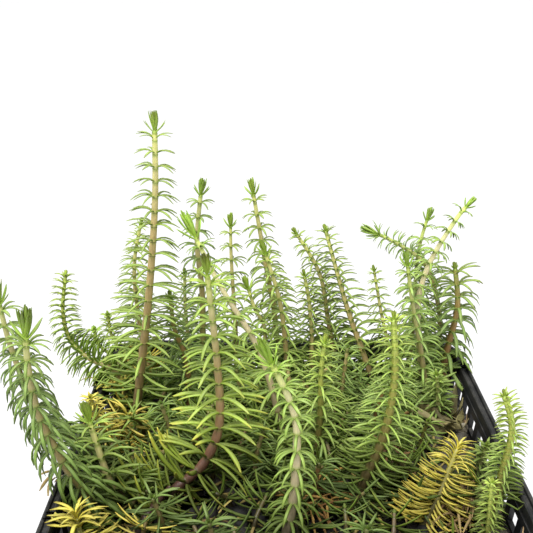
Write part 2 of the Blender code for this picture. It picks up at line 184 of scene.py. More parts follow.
SHOOTS = (
    # Back left, with the tallest shoot
    Shoot(1.3, 8.5, (-43, 20), ((-41, 20, 113), (-37, 20, 139), (-34, 21, 166), (-33, 21, 189)),
          Tone.GREEN, OPEN),
    Shoot(1.1, 8.0, (-25, 35), ((-24, 36, 132), (-25, 36, 150), (-23, 36, 168)), Tone.DARK, ARCHING),
    Shoot(0.9, 7.0, (-43, 48), ((-45, 48, 124), (-45, 48, 139), (-42, 48, 153)), Tone.GREEN, DENSE),
    Shoot(0.8, 6.5, (-28, 44), ((-30, 46, 121), (-30, 46, 138)), Tone.DARK, DENSE),
    Shoot(1.0, 8.0, (-28, 23), ((-28, 25, 118), (-31, 25, 128), (-32, 25, 140)), Tone.BROWN, DENSE),
    Shoot(0.9, 8.0, (-45, 27), ((-49, 29, 112), (-57, 31, 116), (-63, 35, 120),
                                (-65, 38, 128), (-64, 42, 139)), Tone.OLIVE, FINE),
    Shoot(0.8, 6.0, (-45, 41), ((-48, 41, 111), (-52, 42, 117), (-53, 42, 126)), Tone.GREEN, FINE),
    Shoot(0.8, 6.0, (-45, 34), ((-49, 35, 112), (-55, 36, 118), (-56, 36, 124)), Tone.PALE, FINE),
    Shoot(0.8, 6.0, (-46, 5), ((-48, 5, 108), (-50, 5, 114), (-51, 4, 120)), Tone.YELLOW, FINE),
    # Back middle
    Shoot(1.0, 8.0, (-1, 8), ((-3, 8, 114), (-8, 9, 131), (-17, 10, 147), (-26, 12, 166)),
          Tone.PALE, SPARSE),
    Shoot(0.8, 7.0, (-15, 44), ((-15, 45, 118), (-16, 46, 141), (-16, 46, 155)), Tone.GREEN, ARCHING),
    Shoot(1.0, 8.0, (-2, 44), ((-3, 45, 122), (-6, 44, 141), (-10, 43, 166)), Tone.GREEN, ARCHING),
    Shoot(0.9, 7.5, (1, 33), ((0, 33, 118), (-2, 32, 134), (-7, 31, 152)), Tone.GREEN, ARCHING),
    Shoot(0.8, 7.0, (-8, 36), ((-6, 37, 121), (-9, 37, 129), (-12, 37, 139)), Tone.GREEN, ARCHING),
    Shoot(0.9, 7.5, (17, 44), ((13, 45, 122), (10, 45, 137), (2, 45, 151)), Tone.GREEN, DENSE),
    Shoot(0.9, 7.0, (8, 40), ((8, 41, 117), (7, 41, 129), (5, 40, 140)), Tone.GREEN, DENSE),
    Shoot(1.0, 8.0, (28, 40), ((23, 41, 114), (18, 43, 128), (11, 45, 152)), Tone.GREEN, STEPPED),
    Shoot(0.7, 6.0, (35, 44), ((30, 45, 120), (28, 46, 129), (26, 46, 139)), Tone.GREEN, DENSE),
    # Back right, where the shoots lean across each other
    Shoot(0.9, 7.5, (46, 45), ((47, 45, 121), (42, 46, 138), (34, 46, 145), (22, 46, 151)),
          Tone.FRESH, CLUBBED),
    Shoot(0.9, 7.5, (42, 29), ((38, 28, 121), (35, 28, 134), (32, 28, 150)), Tone.FRESH, ARCHING),
    Shoot(0.9, 7.0, (38, 46), ((40, 50, 117), (40, 51, 140), (43, 52, 155)), Tone.FRESH, ARCHING),
    Shoot(1.1, 8.5, (42, 36), ((38, 35, 128), (40, 36, 142), (47, 37, 156), (52, 38, 162)),
          Tone.PALE, TILTED),
    Shoot(1.3, 9.0, (47, 37), ((48, 38, 114), (50, 38, 129), (48, 38, 143)), Tone.BROWN, BROAD),
    Shoot(0.9, 6.5, (43, 20), ((42, 20, 112), (41, 20, 118)), Tone.DARK, FINE),
    # Left front, leaning over the rim
    Shoot(1.0, 8.0, (-46, -6), ((-49, -8, 112), (-58, -12, 121), (-63, -13, 140), (-65, -14, 159)),
          Tone.DARK, DROOPING),
    Shoot(1.2, 9.0, (-44, -24), ((-47, -24, 111), (-51, -25, 120), (-55, -25, 132),
                                 (-56, -25, 145), (-55, -25, 157)), Tone.DARK, DROOPING),
    Shoot(1.1, 9.0, (-39, -15), ((-42, -18, 108), (-45, -17, 119), (-47, -17, 130)), Tone.GREEN, OPEN),
    Shoot(1.0, 9.0, (-44, -34), ((-46, -33, 105), (-47, -32, 110)), Tone.YELLOW, BLUNT),
    # Front, in the middle of the picture
    Shoot(1.2, 9.0, (-33, -16), ((-24, -13, 107), (-20, -11, 111), (-17, -9, 119),
                                 (-17, -9, 134), (-19, -12, 164)), Tone.RED, BEADED),
    Shoot(1.2, 9.0, (-2, -30), ((0, -29, 110), (1, -27, 123), (0, -26, 134), (-7, -26, 150)),
          Tone.PALE, HANGING),
    Shoot(1.3, 9.5, (17, -15), ((18, -14, 107), (22, -13, 118), (24, -12, 133), (23, -11, 150)),
          Tone.OLIVE, LEAFY),
    Shoot(1.0, 8.5, (7, -1), ((8, 0, 117), (8, 1, 128), (9, 2, 138)), Tone.OLIVE, DENSE),
    # Right front
    Shoot(1.2, 7.5, (46, -24), ((47, -24, 108), (47, -25, 116), (48, -25, 128), (45, -25, 138)),
          Tone.OLIVE, FEATHERY),
    Shoot(0.9, 5.5, (42, -36), ((42, -35, 112), (42, -34, 122)), Tone.OLIVE, FEATHERY),
    Shoot(1.1, 8.5, (31, -23), ((34, -21, 106), (36, -19, 110), (39, -16, 117)), Tone.YELLOW, CROWDED),
    Shoot(0.8, 6.0, (45, -8), ((47, -9, 108), (48, -10, 115)), Tone.DARK, FINE),
    # Low growth between the tall shoots
    Shoot(0.9, 8.0, (-13, 22), ((-13, 22, 110), (-14, 21, 119)), Tone.DARK),
    Shoot(0.9, 8.0, (-30, 5), ((-31, 5, 109), (-33, 4, 118)), Tone.DARK),
    Shoot(0.9, 8.0, (-9, -9), ((-8, -8, 110), (-6, -8, 118)), Tone.DARK),
    Shoot(0.9, 8.0, (22, 8), ((23, 8, 110), (25, 7, 121)), Tone.BROWN),
    Shoot(0.8, 8.0, (34, 3), ((35, 3, 108), (36, 2, 114)), Tone.OLIVE),
    Shoot(0.9, 8.0, (15, 24), ((16, 24, 112), (17, 24, 124)), Tone.DARK),
    Shoot(0.9, 10.0, (-16, -35), ((-17, -36, 107), (-18, -37, 114)), Tone.DARK),
    Shoot(0.9, 10.0, (14, -37), ((14, -38, 107), (16, -39, 114)), Tone.DARK),
    Shoot(0.9, 10.0, (29, -40), ((29, -41, 106), (31, -42, 112)), Tone.BROWN),
    Shoot(0.9, 10.0, (-33, -44), ((-34, -44, 106), (-36, -44, 112)), Tone.YELLOW),
    Shoot(0.9, 10.0, (-3, -45), ((-3, -45, 106), (-4, -45, 112)), Tone.DARK),
    Shoot(0.9, 10.0, (-29, -29), ((-29, -29, 107), (-31, -30, 115)), Tone.DARK),
    Shoot(0.9, 10.0, (6, -18), ((6, -18, 109), (7, -18, 116)), Tone.BROWN),
    Shoot(0.9, 9.0, (1, 21), ((1, 21, 111), (0, 22, 120))),
)


def shade(code: str) -> tuple[float, float, float, float]:
    """A screen colour, written as six hex digits, as the linear colour that nodes take.

    Args:
        code: The colour's six hex digits.

    Returns:
        Its red, green, blue and alpha.
    """
    parts = [int(code[at:at + 2], 16) / 255 for at in (0, 2, 4)]
    linear = [part / 12.92 if part <= 0.04045 else ((part + 0.055) / 1.055) ** 2.4 for part in parts]
    return linear[0], linear[1], linear[2], 1.0


def wall_half(z: float) -> float:
    """Half the width over the walls' outside at a height."""
    return BASE_HALF + (WALL_TOP_HALF - BASE_HALF) * z / RIM_TOP


def new_object(name: str, mesh: bpy.types.Mesh) -> bpy.types.Object:
    """An object of the mesh, linked to the scene.

    Args:
        name: The object's name.
        mesh: Its mesh.

    Returns:
        The object.
    """
    item = bpy.data.objects.new(name, mesh)
    bpy.context.scene.collection.objects.link(item)
    return item


class NodeMaker:
    """Adds nodes to a tree and feeds their sockets."""

    def __init__(self, tree: bpy.types.NodeTree) -> None:
        """Keeps the tree that the nodes go to."""
        self.tree = tree

    def add(self, kind: str, sockets: dict[str | int, Any] | None = None, **settings: Any) -> bpy.types.Node:
        """Adds one node.

        Args:
            kind: Blender's own name of the node's type.
            sockets: What its inputs get, by name or number: a value or another node's output.
            settings: Properties to set on the node before its sockets.

        Returns:
            The node.
        """
        node = self.tree.nodes.new(kind)
        for name, value in settings.items():
            setattr(node, name, value)
        for key, value in (sockets or {}).items():
            if isinstance(value, Socket):
                self.tree.links.new(value, node.inputs[key])
            else:
                node.inputs[key].default_value = value
        return node

    def maths(self, operation: str, first: Any, second: Any = 0.0) -> Socket:
        """The result of a sum of two numbers or sockets."""
        return self.add("ShaderNodeMath", {0: first, 1: second}, operation=operation).outputs[0]

    def span(self, value: Any, low: float, high: float, to_low: float, to_high: float) -> Socket:
        """A value carried from one range to another, and held at its ends."""
        sockets = {"Value": value, "From Min": low, "From Max": high, "To Min": to_low, "To Max": to_high}
        return self.add("ShaderNodeMapRange", sockets).outputs[0]

    def noise(self, vector: Any, scale: float, detail: float = 2.0, roughness: float = 0.5) -> Socket:
        """Smooth noise from 0 to 1, read at a place."""
        sockets = {"Vector": vector, "Scale": scale, "Detail": detail, "Roughness": roughness}
        return self.add("ShaderNodeTexNoise", sockets).outputs[0]


class Painter(NodeMaker):
    """Builds one material round a Principled shader."""

    def __init__(self, name: str) -> None:
        """Starts a material of that name.

        Args:
            name: The material's name.
        """
        self.material = bpy.data.materials.new(name)
        self.material.use_nodes = True
        super().__init__(self.material.node_tree)
        self.shader = self.tree.nodes["Principled BSDF"]
        self.place = self.add("ShaderNodeTexCoord").outputs["Object"]

    def attribute(self, name: str) -> Socket:
        """A number that the mesh carries at each point."""
        return self.add("ShaderNodeAttribute", attribute_name=name).outputs["Fac"]

    def stretched(self, x: float, y: float, z: float) -> Socket:
        """The place on the object, stretched for a pattern with a direction."""
        return self.add("ShaderNodeMapping", {"Vector": self.place, "Scale": (x, y, z)}).outputs[0]

    def ramp(self, value: Any, *stops: tuple[float, str]) -> Socket:
        """A colour that runs through stops, each a position and a screen colour.

        Args:
            value: The value that is looked up.

        Returns:
            The colour found there.
        """
        node = self.add("ShaderNodeValToRGB", {"Fac": value})
        colours = node.color_ramp.elements
        colours.remove(colours[1])
        for number, (position, code) in enumerate(stops):
            element = colours.new(position) if number else colours[0]
            element.position, element.color = position, shade(code)
        return node.outputs["Color"]

    def mix(self, factor: Any, first: Any, second: Any, blend: str = "MIX") -> Socket:
        """Two colours mixed.

        Args:
            factor: The share of the second colour.
            first: A colour.
            second: Another colour.
            blend: How they are mixed.

        Returns:
            The mixed colour.
        """
        node = self.add("ShaderNodeMix", data_type="RGBA", blend_type=blend)
        for number, value in ((0, factor), (6, first), (7, second)):
            if isinstance(value, Socket):
                self.tree.links.new(value, node.inputs[number])
            else:
                node.inputs[number].default_value = shade(value) if isinstance(value, str) else value
        return node.outputs[2]

    def shaded(self, colour: Socket, depth: Socket) -> Socket:
        """A colour made darker below a depth of 1 and lighter above it."""
        grey = self.add("ShaderNodeCombineColor", {0: depth, 1: depth, 2: depth}).outputs[0]
        return self.mix(1.0, colour, grey, "MULTIPLY")

    def upward(self) -> Socket:
        """How far the surface faces up, from -1 to 1."""
        normal = self.add("ShaderNodeTexCoord").outputs["Normal"]
        return self.add("ShaderNodeSeparateXYZ", {0: normal}).outputs["Z"]

    def height(self) -> Socket:
        """How high above the basket's underside a point is, in metres."""
        return self.add("ShaderNodeSeparateXYZ", {0: self.place}).outputs[2]

    def painted_low_shade(self, colour: Socket, low: float = 0.12) -> Socket:
        """A colour with painted shade: darker low in the basket, and most so at its front.

        Args:
            colour: The colour in full light.
            low: What the painted shade leaves of it at the lowest.

        Returns:
            The colour with its painted shade.
        """
        # painted shade standing in for the shade deep in the clump: darker towards the gravel and the front;
        # the last factor lightens it slightly, most at the front
        y = self.add("ShaderNodeSeparateXYZ", {0: self.place}).outputs[1]
        floor = self.span(y, -0.015, 0.035, low, 0.9)
        depth = self.span(self.height(), 0.1025, 0.122, floor, 1.0)
        return self.shaded(colour, self.maths("MULTIPLY", depth, self.span(y, -0.03, 0.045, 1.08, 1.03)))

    def bump(self, height: Socket, depth: float, strength: float = 1.0) -> Socket:
        """A surface normal raised by a height of 0 to 1 over a depth in millimetres."""
        sockets = {"Height": height, "Distance": depth * MM, "Strength": strength}
        return self.add("ShaderNodeBump", sockets).outputs["Normal"]

    def done(self, sockets: dict[str, Any]) -> bpy.types.Material:
        """Feeds the shader and returns the material.

        Args:
            sockets: What the Principled shader's inputs get, by name.

        Returns:
            The finished material.
        """
        for name, value in sockets.items():
            if isinstance(value, Socket):
                self.tree.links.new(value, self.shader.inputs[name])
            else:
                self.shader.inputs[name].default_value = value
        return self.material


@dataclass(frozen=True)
class LeafFinish:
    """Living leaves: their colours when young, grown and old, those of their tips, and a painted highlight
    and shade.
    """

    name: str
    young: str
    grown: str
    old: str
    tips: tuple[str, str, str] = ("4f4a1c", "70783c", "8c9a48")
    # colour of the painted highlight on the leaves' upper faces
    painted_top_highlight: str = "becd82"
    depth: tuple[float, float] = (0.66, 1.3)
    # what the painted shade low in the basket leaves of the colour
    low: float = 0.15
    heart: str = "b0cf52"

    def build(self) -> bpy.types.Material:
        """The leaves' material, which reads each leaf's age, tint and length.

        Returns:
            The material.
        """
        paint = Painter(self.name)
        age, along, tint = (paint.attribute(name) for name in ("age", "along", "tint"))
        green = paint.ramp(age, (0.03, self.young), (0.2, self.grown), (0.75, self.old))
        mottle = paint.noise(paint.place, 900.0, 3.0)
        green = paint.shaded(green, paint.span(paint.maths("ADD", tint, mottle), 0.3, 1.6, *self.depth))
        green = paint.mix(paint.span(along, 0.0, 0.25, 0.35, 0.0), green, self.young)
        bud = paint.span(paint.attribute("bend"), 0.0, 1.0, 1.0, 0.0)
        green = paint.mix(paint.maths("MULTIPLY", bud, paint.span(along, 0.1, 0.8, 0.85, 0.0)),
                          green, self.heart)
        # painted light: bud leaves made a little lighter
        green = paint.shaded(green, paint.span(bud, 0.0, 1.0, 1.0, 1.12))
        # painted shade on the undersides and painted highlight on the upper faces, as the light falls from
        # above
        green = paint.shaded(green, paint.span(paint.upward(), -0.5, 0.35, 0.6, 1.0))
        green = paint.mix(paint.span(paint.upward(), 0.1, 1.0, 0.0, 0.34), green, self.painted_top_highlight)
        tips = paint.ramp(age, (0.05, self.tips[0]), (0.2, self.tips[1]), (0.7, self.tips[2]))
        dusky = paint.maths("MULTIPLY", paint.maths("MULTIPLY", bud, paint.attribute("dusk")),
                            paint.span(along, 0.55, 0.95, 0.0, 1.0))
        worn = paint.maths("MULTIPLY", paint.span(along, 0.7, 1.0, 0.0, 1.0),
                           paint.span(tint, 0.2, 0.8, 0.3, 0.9))
        worn = paint.maths("MULTIPLY", worn, paint.maths("SUBTRACT", 1.0, bud))
        return paint.done({
            # painted shade low in the basket and at its front
            "Base Color": paint.painted_low_shade(paint.mix(paint.maths("MAXIMUM", dusky, worn), green, tips), self.low),
            "Roughness": paint.span(mottle, 0.3, 0.7, 0.36, 0.52),
            "Normal": paint.bump(mottle, 0.05),
            "Subsurface Weight": 0.12,
            "Subsurface Radius": (0.5, 1.0, 0.2),
            "Subsurface Scale": 0.4 * MM,
            "Specular IOR Level": paint.span(paint.height(), 0.104, 0.13, 0.1, 0.4),
        })


@dataclass(frozen=True)
class StemFinish:
    """Stems, from the pale tip down to the foot, with a green collar and a dark line at each whorl."""

    name: str
    colours: tuple[str, str, str, str, str]
    line: str
    collar: str = "a3b852"
    bud: str = "a6c648"

    def build(self) -> bpy.types.Material:
        """The stem's material, which reads its age and its rings.

        Returns:
            The material.
        """
        paint = Painter(self.name)
        age, ring = paint.attribute("age"), paint.attribute("ring")
        colour = paint.ramp(age, *zip((0.07, 0.16, 0.34, 0.6, 0.95), self.colours))
        colour = paint.mix(paint.attribute("bud"), colour, self.bud)
        streaks = paint.noise(paint.stretched(1.0, 1.0, 0.12), 2600.0, 2.0)
        blotches = paint.noise(paint.place, 420.0, 3.0, 0.6)
        colour = paint.shaded(colour, paint.span(paint.maths("ADD", streaks, blotches), 0.6, 1.4, 0.76, 1.16))
        fresh = paint.span(age, 0.2, 0.7, 0.75, 0.15)
        colour = paint.mix(paint.maths("MULTIPLY", paint.span(ring, 0.15, 0.7, 0.0, 1.0), fresh),
                           colour, self.collar)
        worn = paint.span(age, 0.05, 0.35, 0.15, 0.85)
        colour = paint.mix(paint.maths("MULTIPLY", paint.span(ring, 0.72, 1.0, 0.0, 1.0), worn),
                           colour, self.line)
        return paint.done({
            # painted shade low in the basket and at its front
            "Base Color": paint.painted_low_shade(colour),
            "Roughness": paint.span(blotches, 0.3, 0.7, 0.4, 0.58),
            "Normal": paint.bump(streaks, 0.06),
            "Subsurface Weight": 0.1,
            "Subsurface Radius": (1.0, 0.8, 0.4),
            "Subsurface Scale": 0.5 * MM,
        })


@dataclass(frozen=True)
class PlasticFinish:
    """Moulded black plastic, dusty and slightly scuffed."""

    name: str = "black_plastic"
    plastic: str = "17181a"
    dust: str = "6b6861"

    def build(self) -> bpy.types.Material:
        """The basket's material.

        Returns:
            The material.
        """
        paint = Painter(self.name)
        cloud = paint.noise(paint.place, 90.0, 5.0, 0.62)
        grit = paint.noise(paint.place, 1900.0, 2.0, 0.6)
        upward = paint.span(paint.upward(), 0.2, 1.0, 0.15, 0.75)
        dusty = paint.maths("MULTIPLY", upward, paint.span(cloud, 0.42, 0.72, 0.0, 1.0))
        dusty = paint.maths("MULTIPLY", dusty, paint.span(grit, 0.35, 0.65, 0.3, 1.0))
        return paint.done({
            "Base Color": paint.mix(dusty, self.plastic, self.dust),
            "Roughness": paint.span(cloud, 0.3, 0.75, 0.34, 0.62),
            "Normal": paint.bump(grit, 0.06, 0.6),
        })


@dataclass(frozen=True)
class EarthFinish:
    """Moist dark loam with paler crumbs."""

    name: str = "soil"
    damp: str = "2a1e15"
    crumb: str = "6a543c"

    def build(self) -> bpy.types.Material:
        """The soil's material.

        Returns:
            The material.
        """
        paint = Painter(self.name)
        clods = paint.noise(paint.place, 260.0, 5.0, 0.65)
        crumbs = paint.noise(paint.place, 1500.0, 3.0, 0.7)
        pale = paint.maths("MULTIPLY", paint.span(clods, 0.4, 0.75, 0.1, 1.0),
                           paint.span(crumbs, 0.5, 0.72, 0.0, 1.0))
        height = paint.maths("ADD", clods, crumbs)
        return paint.done({
            "Base Color": paint.mix(pale, self.damp, self.crumb),
            "Roughness": 0.92,
            "Normal": paint.bump(height, 0.8),
        })


@dataclass(frozen=True)
class RockFinish:
    """Worn stone of one or several colours, told apart by each stone's tint."""

    name: str
    colours: tuple[str, ...]
    speck: str = "3a3833"

    def build(self) -> bpy.types.Material:
        """The stone's material.

        Returns:
            The material.
        """
        paint = Painter(self.name)
        last = max(1, len(self.colours) - 1)
        stops = [(number / last, code) for number, code in enumerate(self.colours)]
        colour = paint.ramp(paint.attribute("tint"), *stops)
        veins = paint.noise(paint.place, 330.0, 4.0, 0.6)
        specks = paint.noise(paint.place, 2400.0, 2.0, 0.6)
        colour = paint.shaded(colour, paint.span(veins, 0.3, 0.7, 0.66, 1.22))
        colour = paint.mix(paint.span(specks, 0.58, 0.7, 0.0, 0.6), colour, self.speck)
        return paint.done({
            # painted shade: the stones darken low in the basket and at its front, nearly to black
            "Base Color": paint.painted_low_shade(colour, 0.05),
            "Roughness": paint.span(veins, 0.3, 0.7, 0.7, 0.9),
            "Normal": paint.bump(paint.maths("ADD", veins, specks), 0.25),
        })


@dataclass(frozen=True)
class DeadFinish:
    """Dead plant matter, such as fallen leaves and old roots, of several browns."""

    name: str
    colours: tuple[str, ...]

    def build(self) -> bpy.types.Material:
        """The material, which reads each piece's tint.

        Returns:
            The material.
        """
        paint = Painter(self.name)
        last = max(1, len(self.colours) - 1)
        stops = [(number / last, code) for number, code in enumerate(self.colours)]
        colour = paint.ramp(paint.attribute("tint"), *stops)
        fibres = paint.noise(paint.place, 1500.0, 3.0, 0.6)
        return paint.done({
            "Base Color": paint.shaded(colour, paint.span(fibres, 0.3, 0.7, 0.7, 1.2)),
            "Roughness": 0.75,
            "Normal": paint.bump(fibres, 0.1),
        })


@dataclass(frozen=True)
class FloorFinish:
    """A plain studio floor that glows white and throws little light back up."""

    name: str = "studio_white"
    glow: float = 0.9

    def build(self) -> bpy.types.Material:
        """The floor's material.

        Returns:
            The material.
        """
        paint = Painter(self.name)
        return paint.done({
            "Base Color": shade("6a6a6a"),
            "Roughness": 0.9,
            "Emission Color": shade("ffffff"),
            "Emission Strength": self.glow,
        })


@dataclass(frozen=True)
class ToneFinishes:
    """The pair of finishes of one tone."""

    leaf: LeafFinish
    stem: StemFinish


FINISHES = {
    Tone.GREEN: ToneFinishes(
        LeafFinish("leaf_green", "98b242", "7e9838", "8aa63e"),
        StemFinish("stem_green", ("eceb94", "e4da94", "ceb67a", "b39a68", "9a8058"), "5c4e2a")),
    Tone.DARK: ToneFinishes(
        # the last colour is the dark leaves' painted top highlight
        LeafFinish("leaf_dark", "8aa440", "66823a", "76923e", ("3c3416", "66703c", "7f9048"), "b4c47c"),
        StemFinish("stem_dark", ("d8dc8e", "d0c88a", "b8a46c", "8e8852", "6e6640"), "4a4226")),
    Tone.OLIVE: ToneFinishes(
        LeafFinish("leaf_olive", "a6ba46", "88a43e", "88a244", painted_top_highlight="c2d284"),
        StemFinish("stem_olive", ("c8d46c", "b4b458", "94864a", "7e6a42", "6a5236"), "50421f")),
    Tone.FRESH: ToneFinishes(
        LeafFinish("leaf_fresh", "94b24a", "80a044", "8aa84a", painted_top_highlight="c6d48e"),
        StemFinish("stem_fresh", ("ccd878", "ced086", "bcae74", "a08a5c", "806a46"), "5a5a2c")),
    Tone.PALE: ToneFinishes(
        LeafFinish("leaf_pale", "98bc40", "86a442", "94b04a"),
        StemFinish("stem_pale", ("e0ec84", "eee8b0", "ecdcb0", "dac69a", "b8a274"), "8a7a4c")),
    Tone.YELLOW: ToneFinishes(
        # ecdf90 is the painted top highlight; low=0.55 keeps the painted shade light, as the golden shoot
        # catches the light
        LeafFinish("leaf_yellow", "d8cc50", "dccb54", "dcc85c", ("8a7a34", "d8c050", "e4cc64"),
                   "ecdf90", low=0.55),
        StemFinish("stem_yellow", ("cfd07a", "c4ba6c", "ac9450", "8c7040", "6a4f30"), "6a5428", "bdb558")),
    Tone.BROWN: ToneFinishes(
        LeafFinish("leaf_brown", "8ea244", "6e8a3e", "7e9446", painted_top_highlight="b0c47c"),
        StemFinish("stem_brown", ("b0aa62", "b09058", "a27c4c", "8c6a42", "6c5036"), "3c2e1c")),
    Tone.RED: ToneFinishes(
        LeafFinish("leaf_red", "9eb63e", "8caa3a", "a8bc42", ("40340f", "8d9345", "dccf52")),
        StemFinish("stem_red", ("d4d884", "d4ca90", "c4a878", "a0705a", "6c3f32"), "4b3122")),
}


class Recipe(NodeMaker):
    """A geometry node tree with named inputs, which makes a plain mesh out of another."""

    SOCKETS = {float: "NodeSocketFloat", int: "NodeSocketInt", bpy.types.Material: "NodeSocketMaterial"}

    def __init__(self, name: str, inputs: dict[str, type]) -> None:
        """Starts a tree.

        Args:
            name: The tree's name.
            inputs: The names of its inputs and what each is.
        """
        super().__init__(bpy.data.node_groups.new(name, "GeometryNodeTree"))
        self.tree.interface.new_socket("Base", in_out="INPUT", socket_type="NodeSocketGeometry")
        for label, kind in inputs.items():
            self.tree.interface.new_socket(label, in_out="INPUT", socket_type=self.SOCKETS[kind])
        self.tree.interface.new_socket("Result", in_out="OUTPUT", socket_type="NodeSocketGeometry")
        self.given = self.add("NodeGroupInput").outputs

    def read(self, name: str, kind: str = "FLOAT") -> Socket:
        """A named attribute of the geometry."""
        return self.add("GeometryNodeInputNamedAttribute", {"Name": name}, data_type=kind).outputs[0]

    def store(self, geometry: Socket, name: str, value: Any, domain: str = "POINT",
              kind: str = "FLOAT") -> Socket:
        """The geometry with a number or a vector kept on it under a name."""
        sockets = {"Geometry": geometry, "Name": name, "Value": value}
        return self.add("GeometryNodeStoreNamedAttribute", sockets, domain=domain, data_type=kind).outputs[0]

    def chance(self, low: float, high: float, seed: Any) -> Socket:
        """A random number between two, for each element."""
        return self.add("FunctionNodeRandomValue", {2: low, 3: high, "Seed": seed}).outputs[1]

    def vector(self, x: Any, y: Any, z: Any) -> Socket:
        """A vector of three numbers."""
        return self.add("ShaderNodeCombineXYZ", {0: x, 1: y, 2: z}).outputs[0]

    def join(self, *parts: Socket) -> Socket:
        """Several geometries as one.

        Returns:
            The joined geometry.
        """
        node = self.add("GeometryNodeJoinGeometry")
        for part in parts:
            self.tree.links.new(part, node.inputs[0])
        return node.outputs[0]

    def split(self, place: Socket) -> tuple[Socket, Socket, Socket, Socket]:
        """A place's x, y and z, and its reach, the greater of x and y without their signs."""
        x, y, z = self.add("ShaderNodeSeparateXYZ", {0: place}).outputs
        return x, y, z, self.maths("MAXIMUM", self.maths("ABSOLUTE", x), self.maths("ABSOLUTE", y))

    def walled(self, geometry: Socket) -> Socket:
        """A geometry pushed in where it would come through the basket's wall or floor.

        Args:
            geometry: The geometry.

        Returns:
            The geometry inside the basket.
        """
        x, y, z, _ = self.split(self.add("GeometryNodeInputPosition").outputs[0])
        z = self.maths("MAXIMUM", z, 2.4 * MM)
        half = self.span(z, 0.0, RIM_TOP * MM, (BASE_HALF - WALL - 0.1) * MM,
                         (WALL_TOP_HALF - WALL - 0.1) * MM)
        less = self.maths("MULTIPLY", half, -1.0)
        sides = [self.maths("MAXIMUM", self.maths("MINIMUM", value, half), less) for value in (x, y)]
        return self.add("GeometryNodeSetPosition", {
            "Geometry": geometry, "Position": self.vector(*sides, z)}).outputs[0]

    def dressed(self, geometry: Socket, finish: Socket) -> Socket:
        """The geometry's instances made real, shaded smooth and given a material.

        Args:
            geometry: The geometry.
            finish: Its material.

        Returns:
            The finished geometry.
        """
        real = self.add("GeometryNodeRealizeInstances", {"Geometry": geometry}).outputs[0]
        smooth = self.add("GeometryNodeSetShadeSmooth", {"Geometry": real}).outputs[0]
        return self.add("GeometryNodeSetMaterial", {"Geometry": smooth, "Material": finish}).outputs[0]

    def end(self, geometry: Socket) -> None:
        """Sends the geometry out of the tree."""
        self.add("NodeGroupOutput", {0: geometry})

    def run(self, name: str, base: bpy.types.Mesh, values: dict[str, Any]) -> bpy.types.Object:
        """Runs the tree on a mesh.

        Args:
            name: The new object's name.
            base: The mesh that goes in.
            values: What the tree's inputs get, by name.

        Returns:
            An object whose mesh is the plain result.
        """
        item = new_object(name, base)
        modifier = item.modifiers.new("recipe", "NODES")
        modifier.node_group = self.tree
        for socket in self.tree.interface.items_tree:
            if socket.name in values:
                modifier[socket.identifier] = values[socket.name]
        graph = bpy.context.evaluated_depsgraph_get()
        made = bpy.data.meshes.new_from_object(item.evaluated_get(graph), depsgraph=graph)
        item.modifiers.clear()
        item.data = made
        made.name = name
        bpy.data.meshes.remove(base)
        return item


@dataclass(frozen=True)
class LeafForm:
    """One way that a leaf bends: the middle and end points of its curve, on a leaf 1 long."""

    middle: Place
    end: Place


FORMS = {
    Bend.BUD: (LeafForm((0.5, 0.0, -0.08), (1.0, 0.0, -0.07)),
               LeafForm((0.5, 0.03, -0.09), (1.0, 0.05, 0.01))),
    Bend.ARCHED: (LeafForm((0.42, 0.02, 0.31), (0.92, 0.03, -0.08)),
                  LeafForm((0.44, -0.02, 0.28), (0.93, -0.05, -0.14)),
                  LeafForm((0.40, 0.00, 0.33), (0.90, 0.02, -0.20))),
    Bend.HOOPED: (LeafForm((0.54, 0.02, 0.20), (0.80, 0.03, -0.28)),
                  LeafForm((0.52, -0.02, 0.24), (0.84, -0.05, -0.20)),
                  LeafForm((0.52, 0.00, 0.18), (0.76, 0.02, -0.34))),
    Bend.LONG: (LeafForm((0.50, 0.03, 0.16), (0.98, 0.06, -0.02)),
                LeafForm((0.48, -0.03, 0.19), (0.97, -0.08, -0.08)),
                LeafForm((0.50, 0.00, 0.13), (0.97, 0.10, -0.12))),
    Bend.SAGGING: (LeafForm((0.50, 0.05, -0.11), (0.96, 0.10, 0.05)),
                   LeafForm((0.50, -0.06, -0.15), (0.95, -0.15, -0.03)),
                   LeafForm((0.52, 0.00, -0.06), (0.97, 0.06, 0.10))),
}


CURLED = (LeafForm((0.55, 0.9, 0.5), (0.8, -0.6, 0.1)), LeafForm((0.65, -1.2, 0.4), (0.6, 1.0, 0.0)),
          LeafForm((0.5, 0.3, 0.3), (0.95, 1.2, 0.05)))


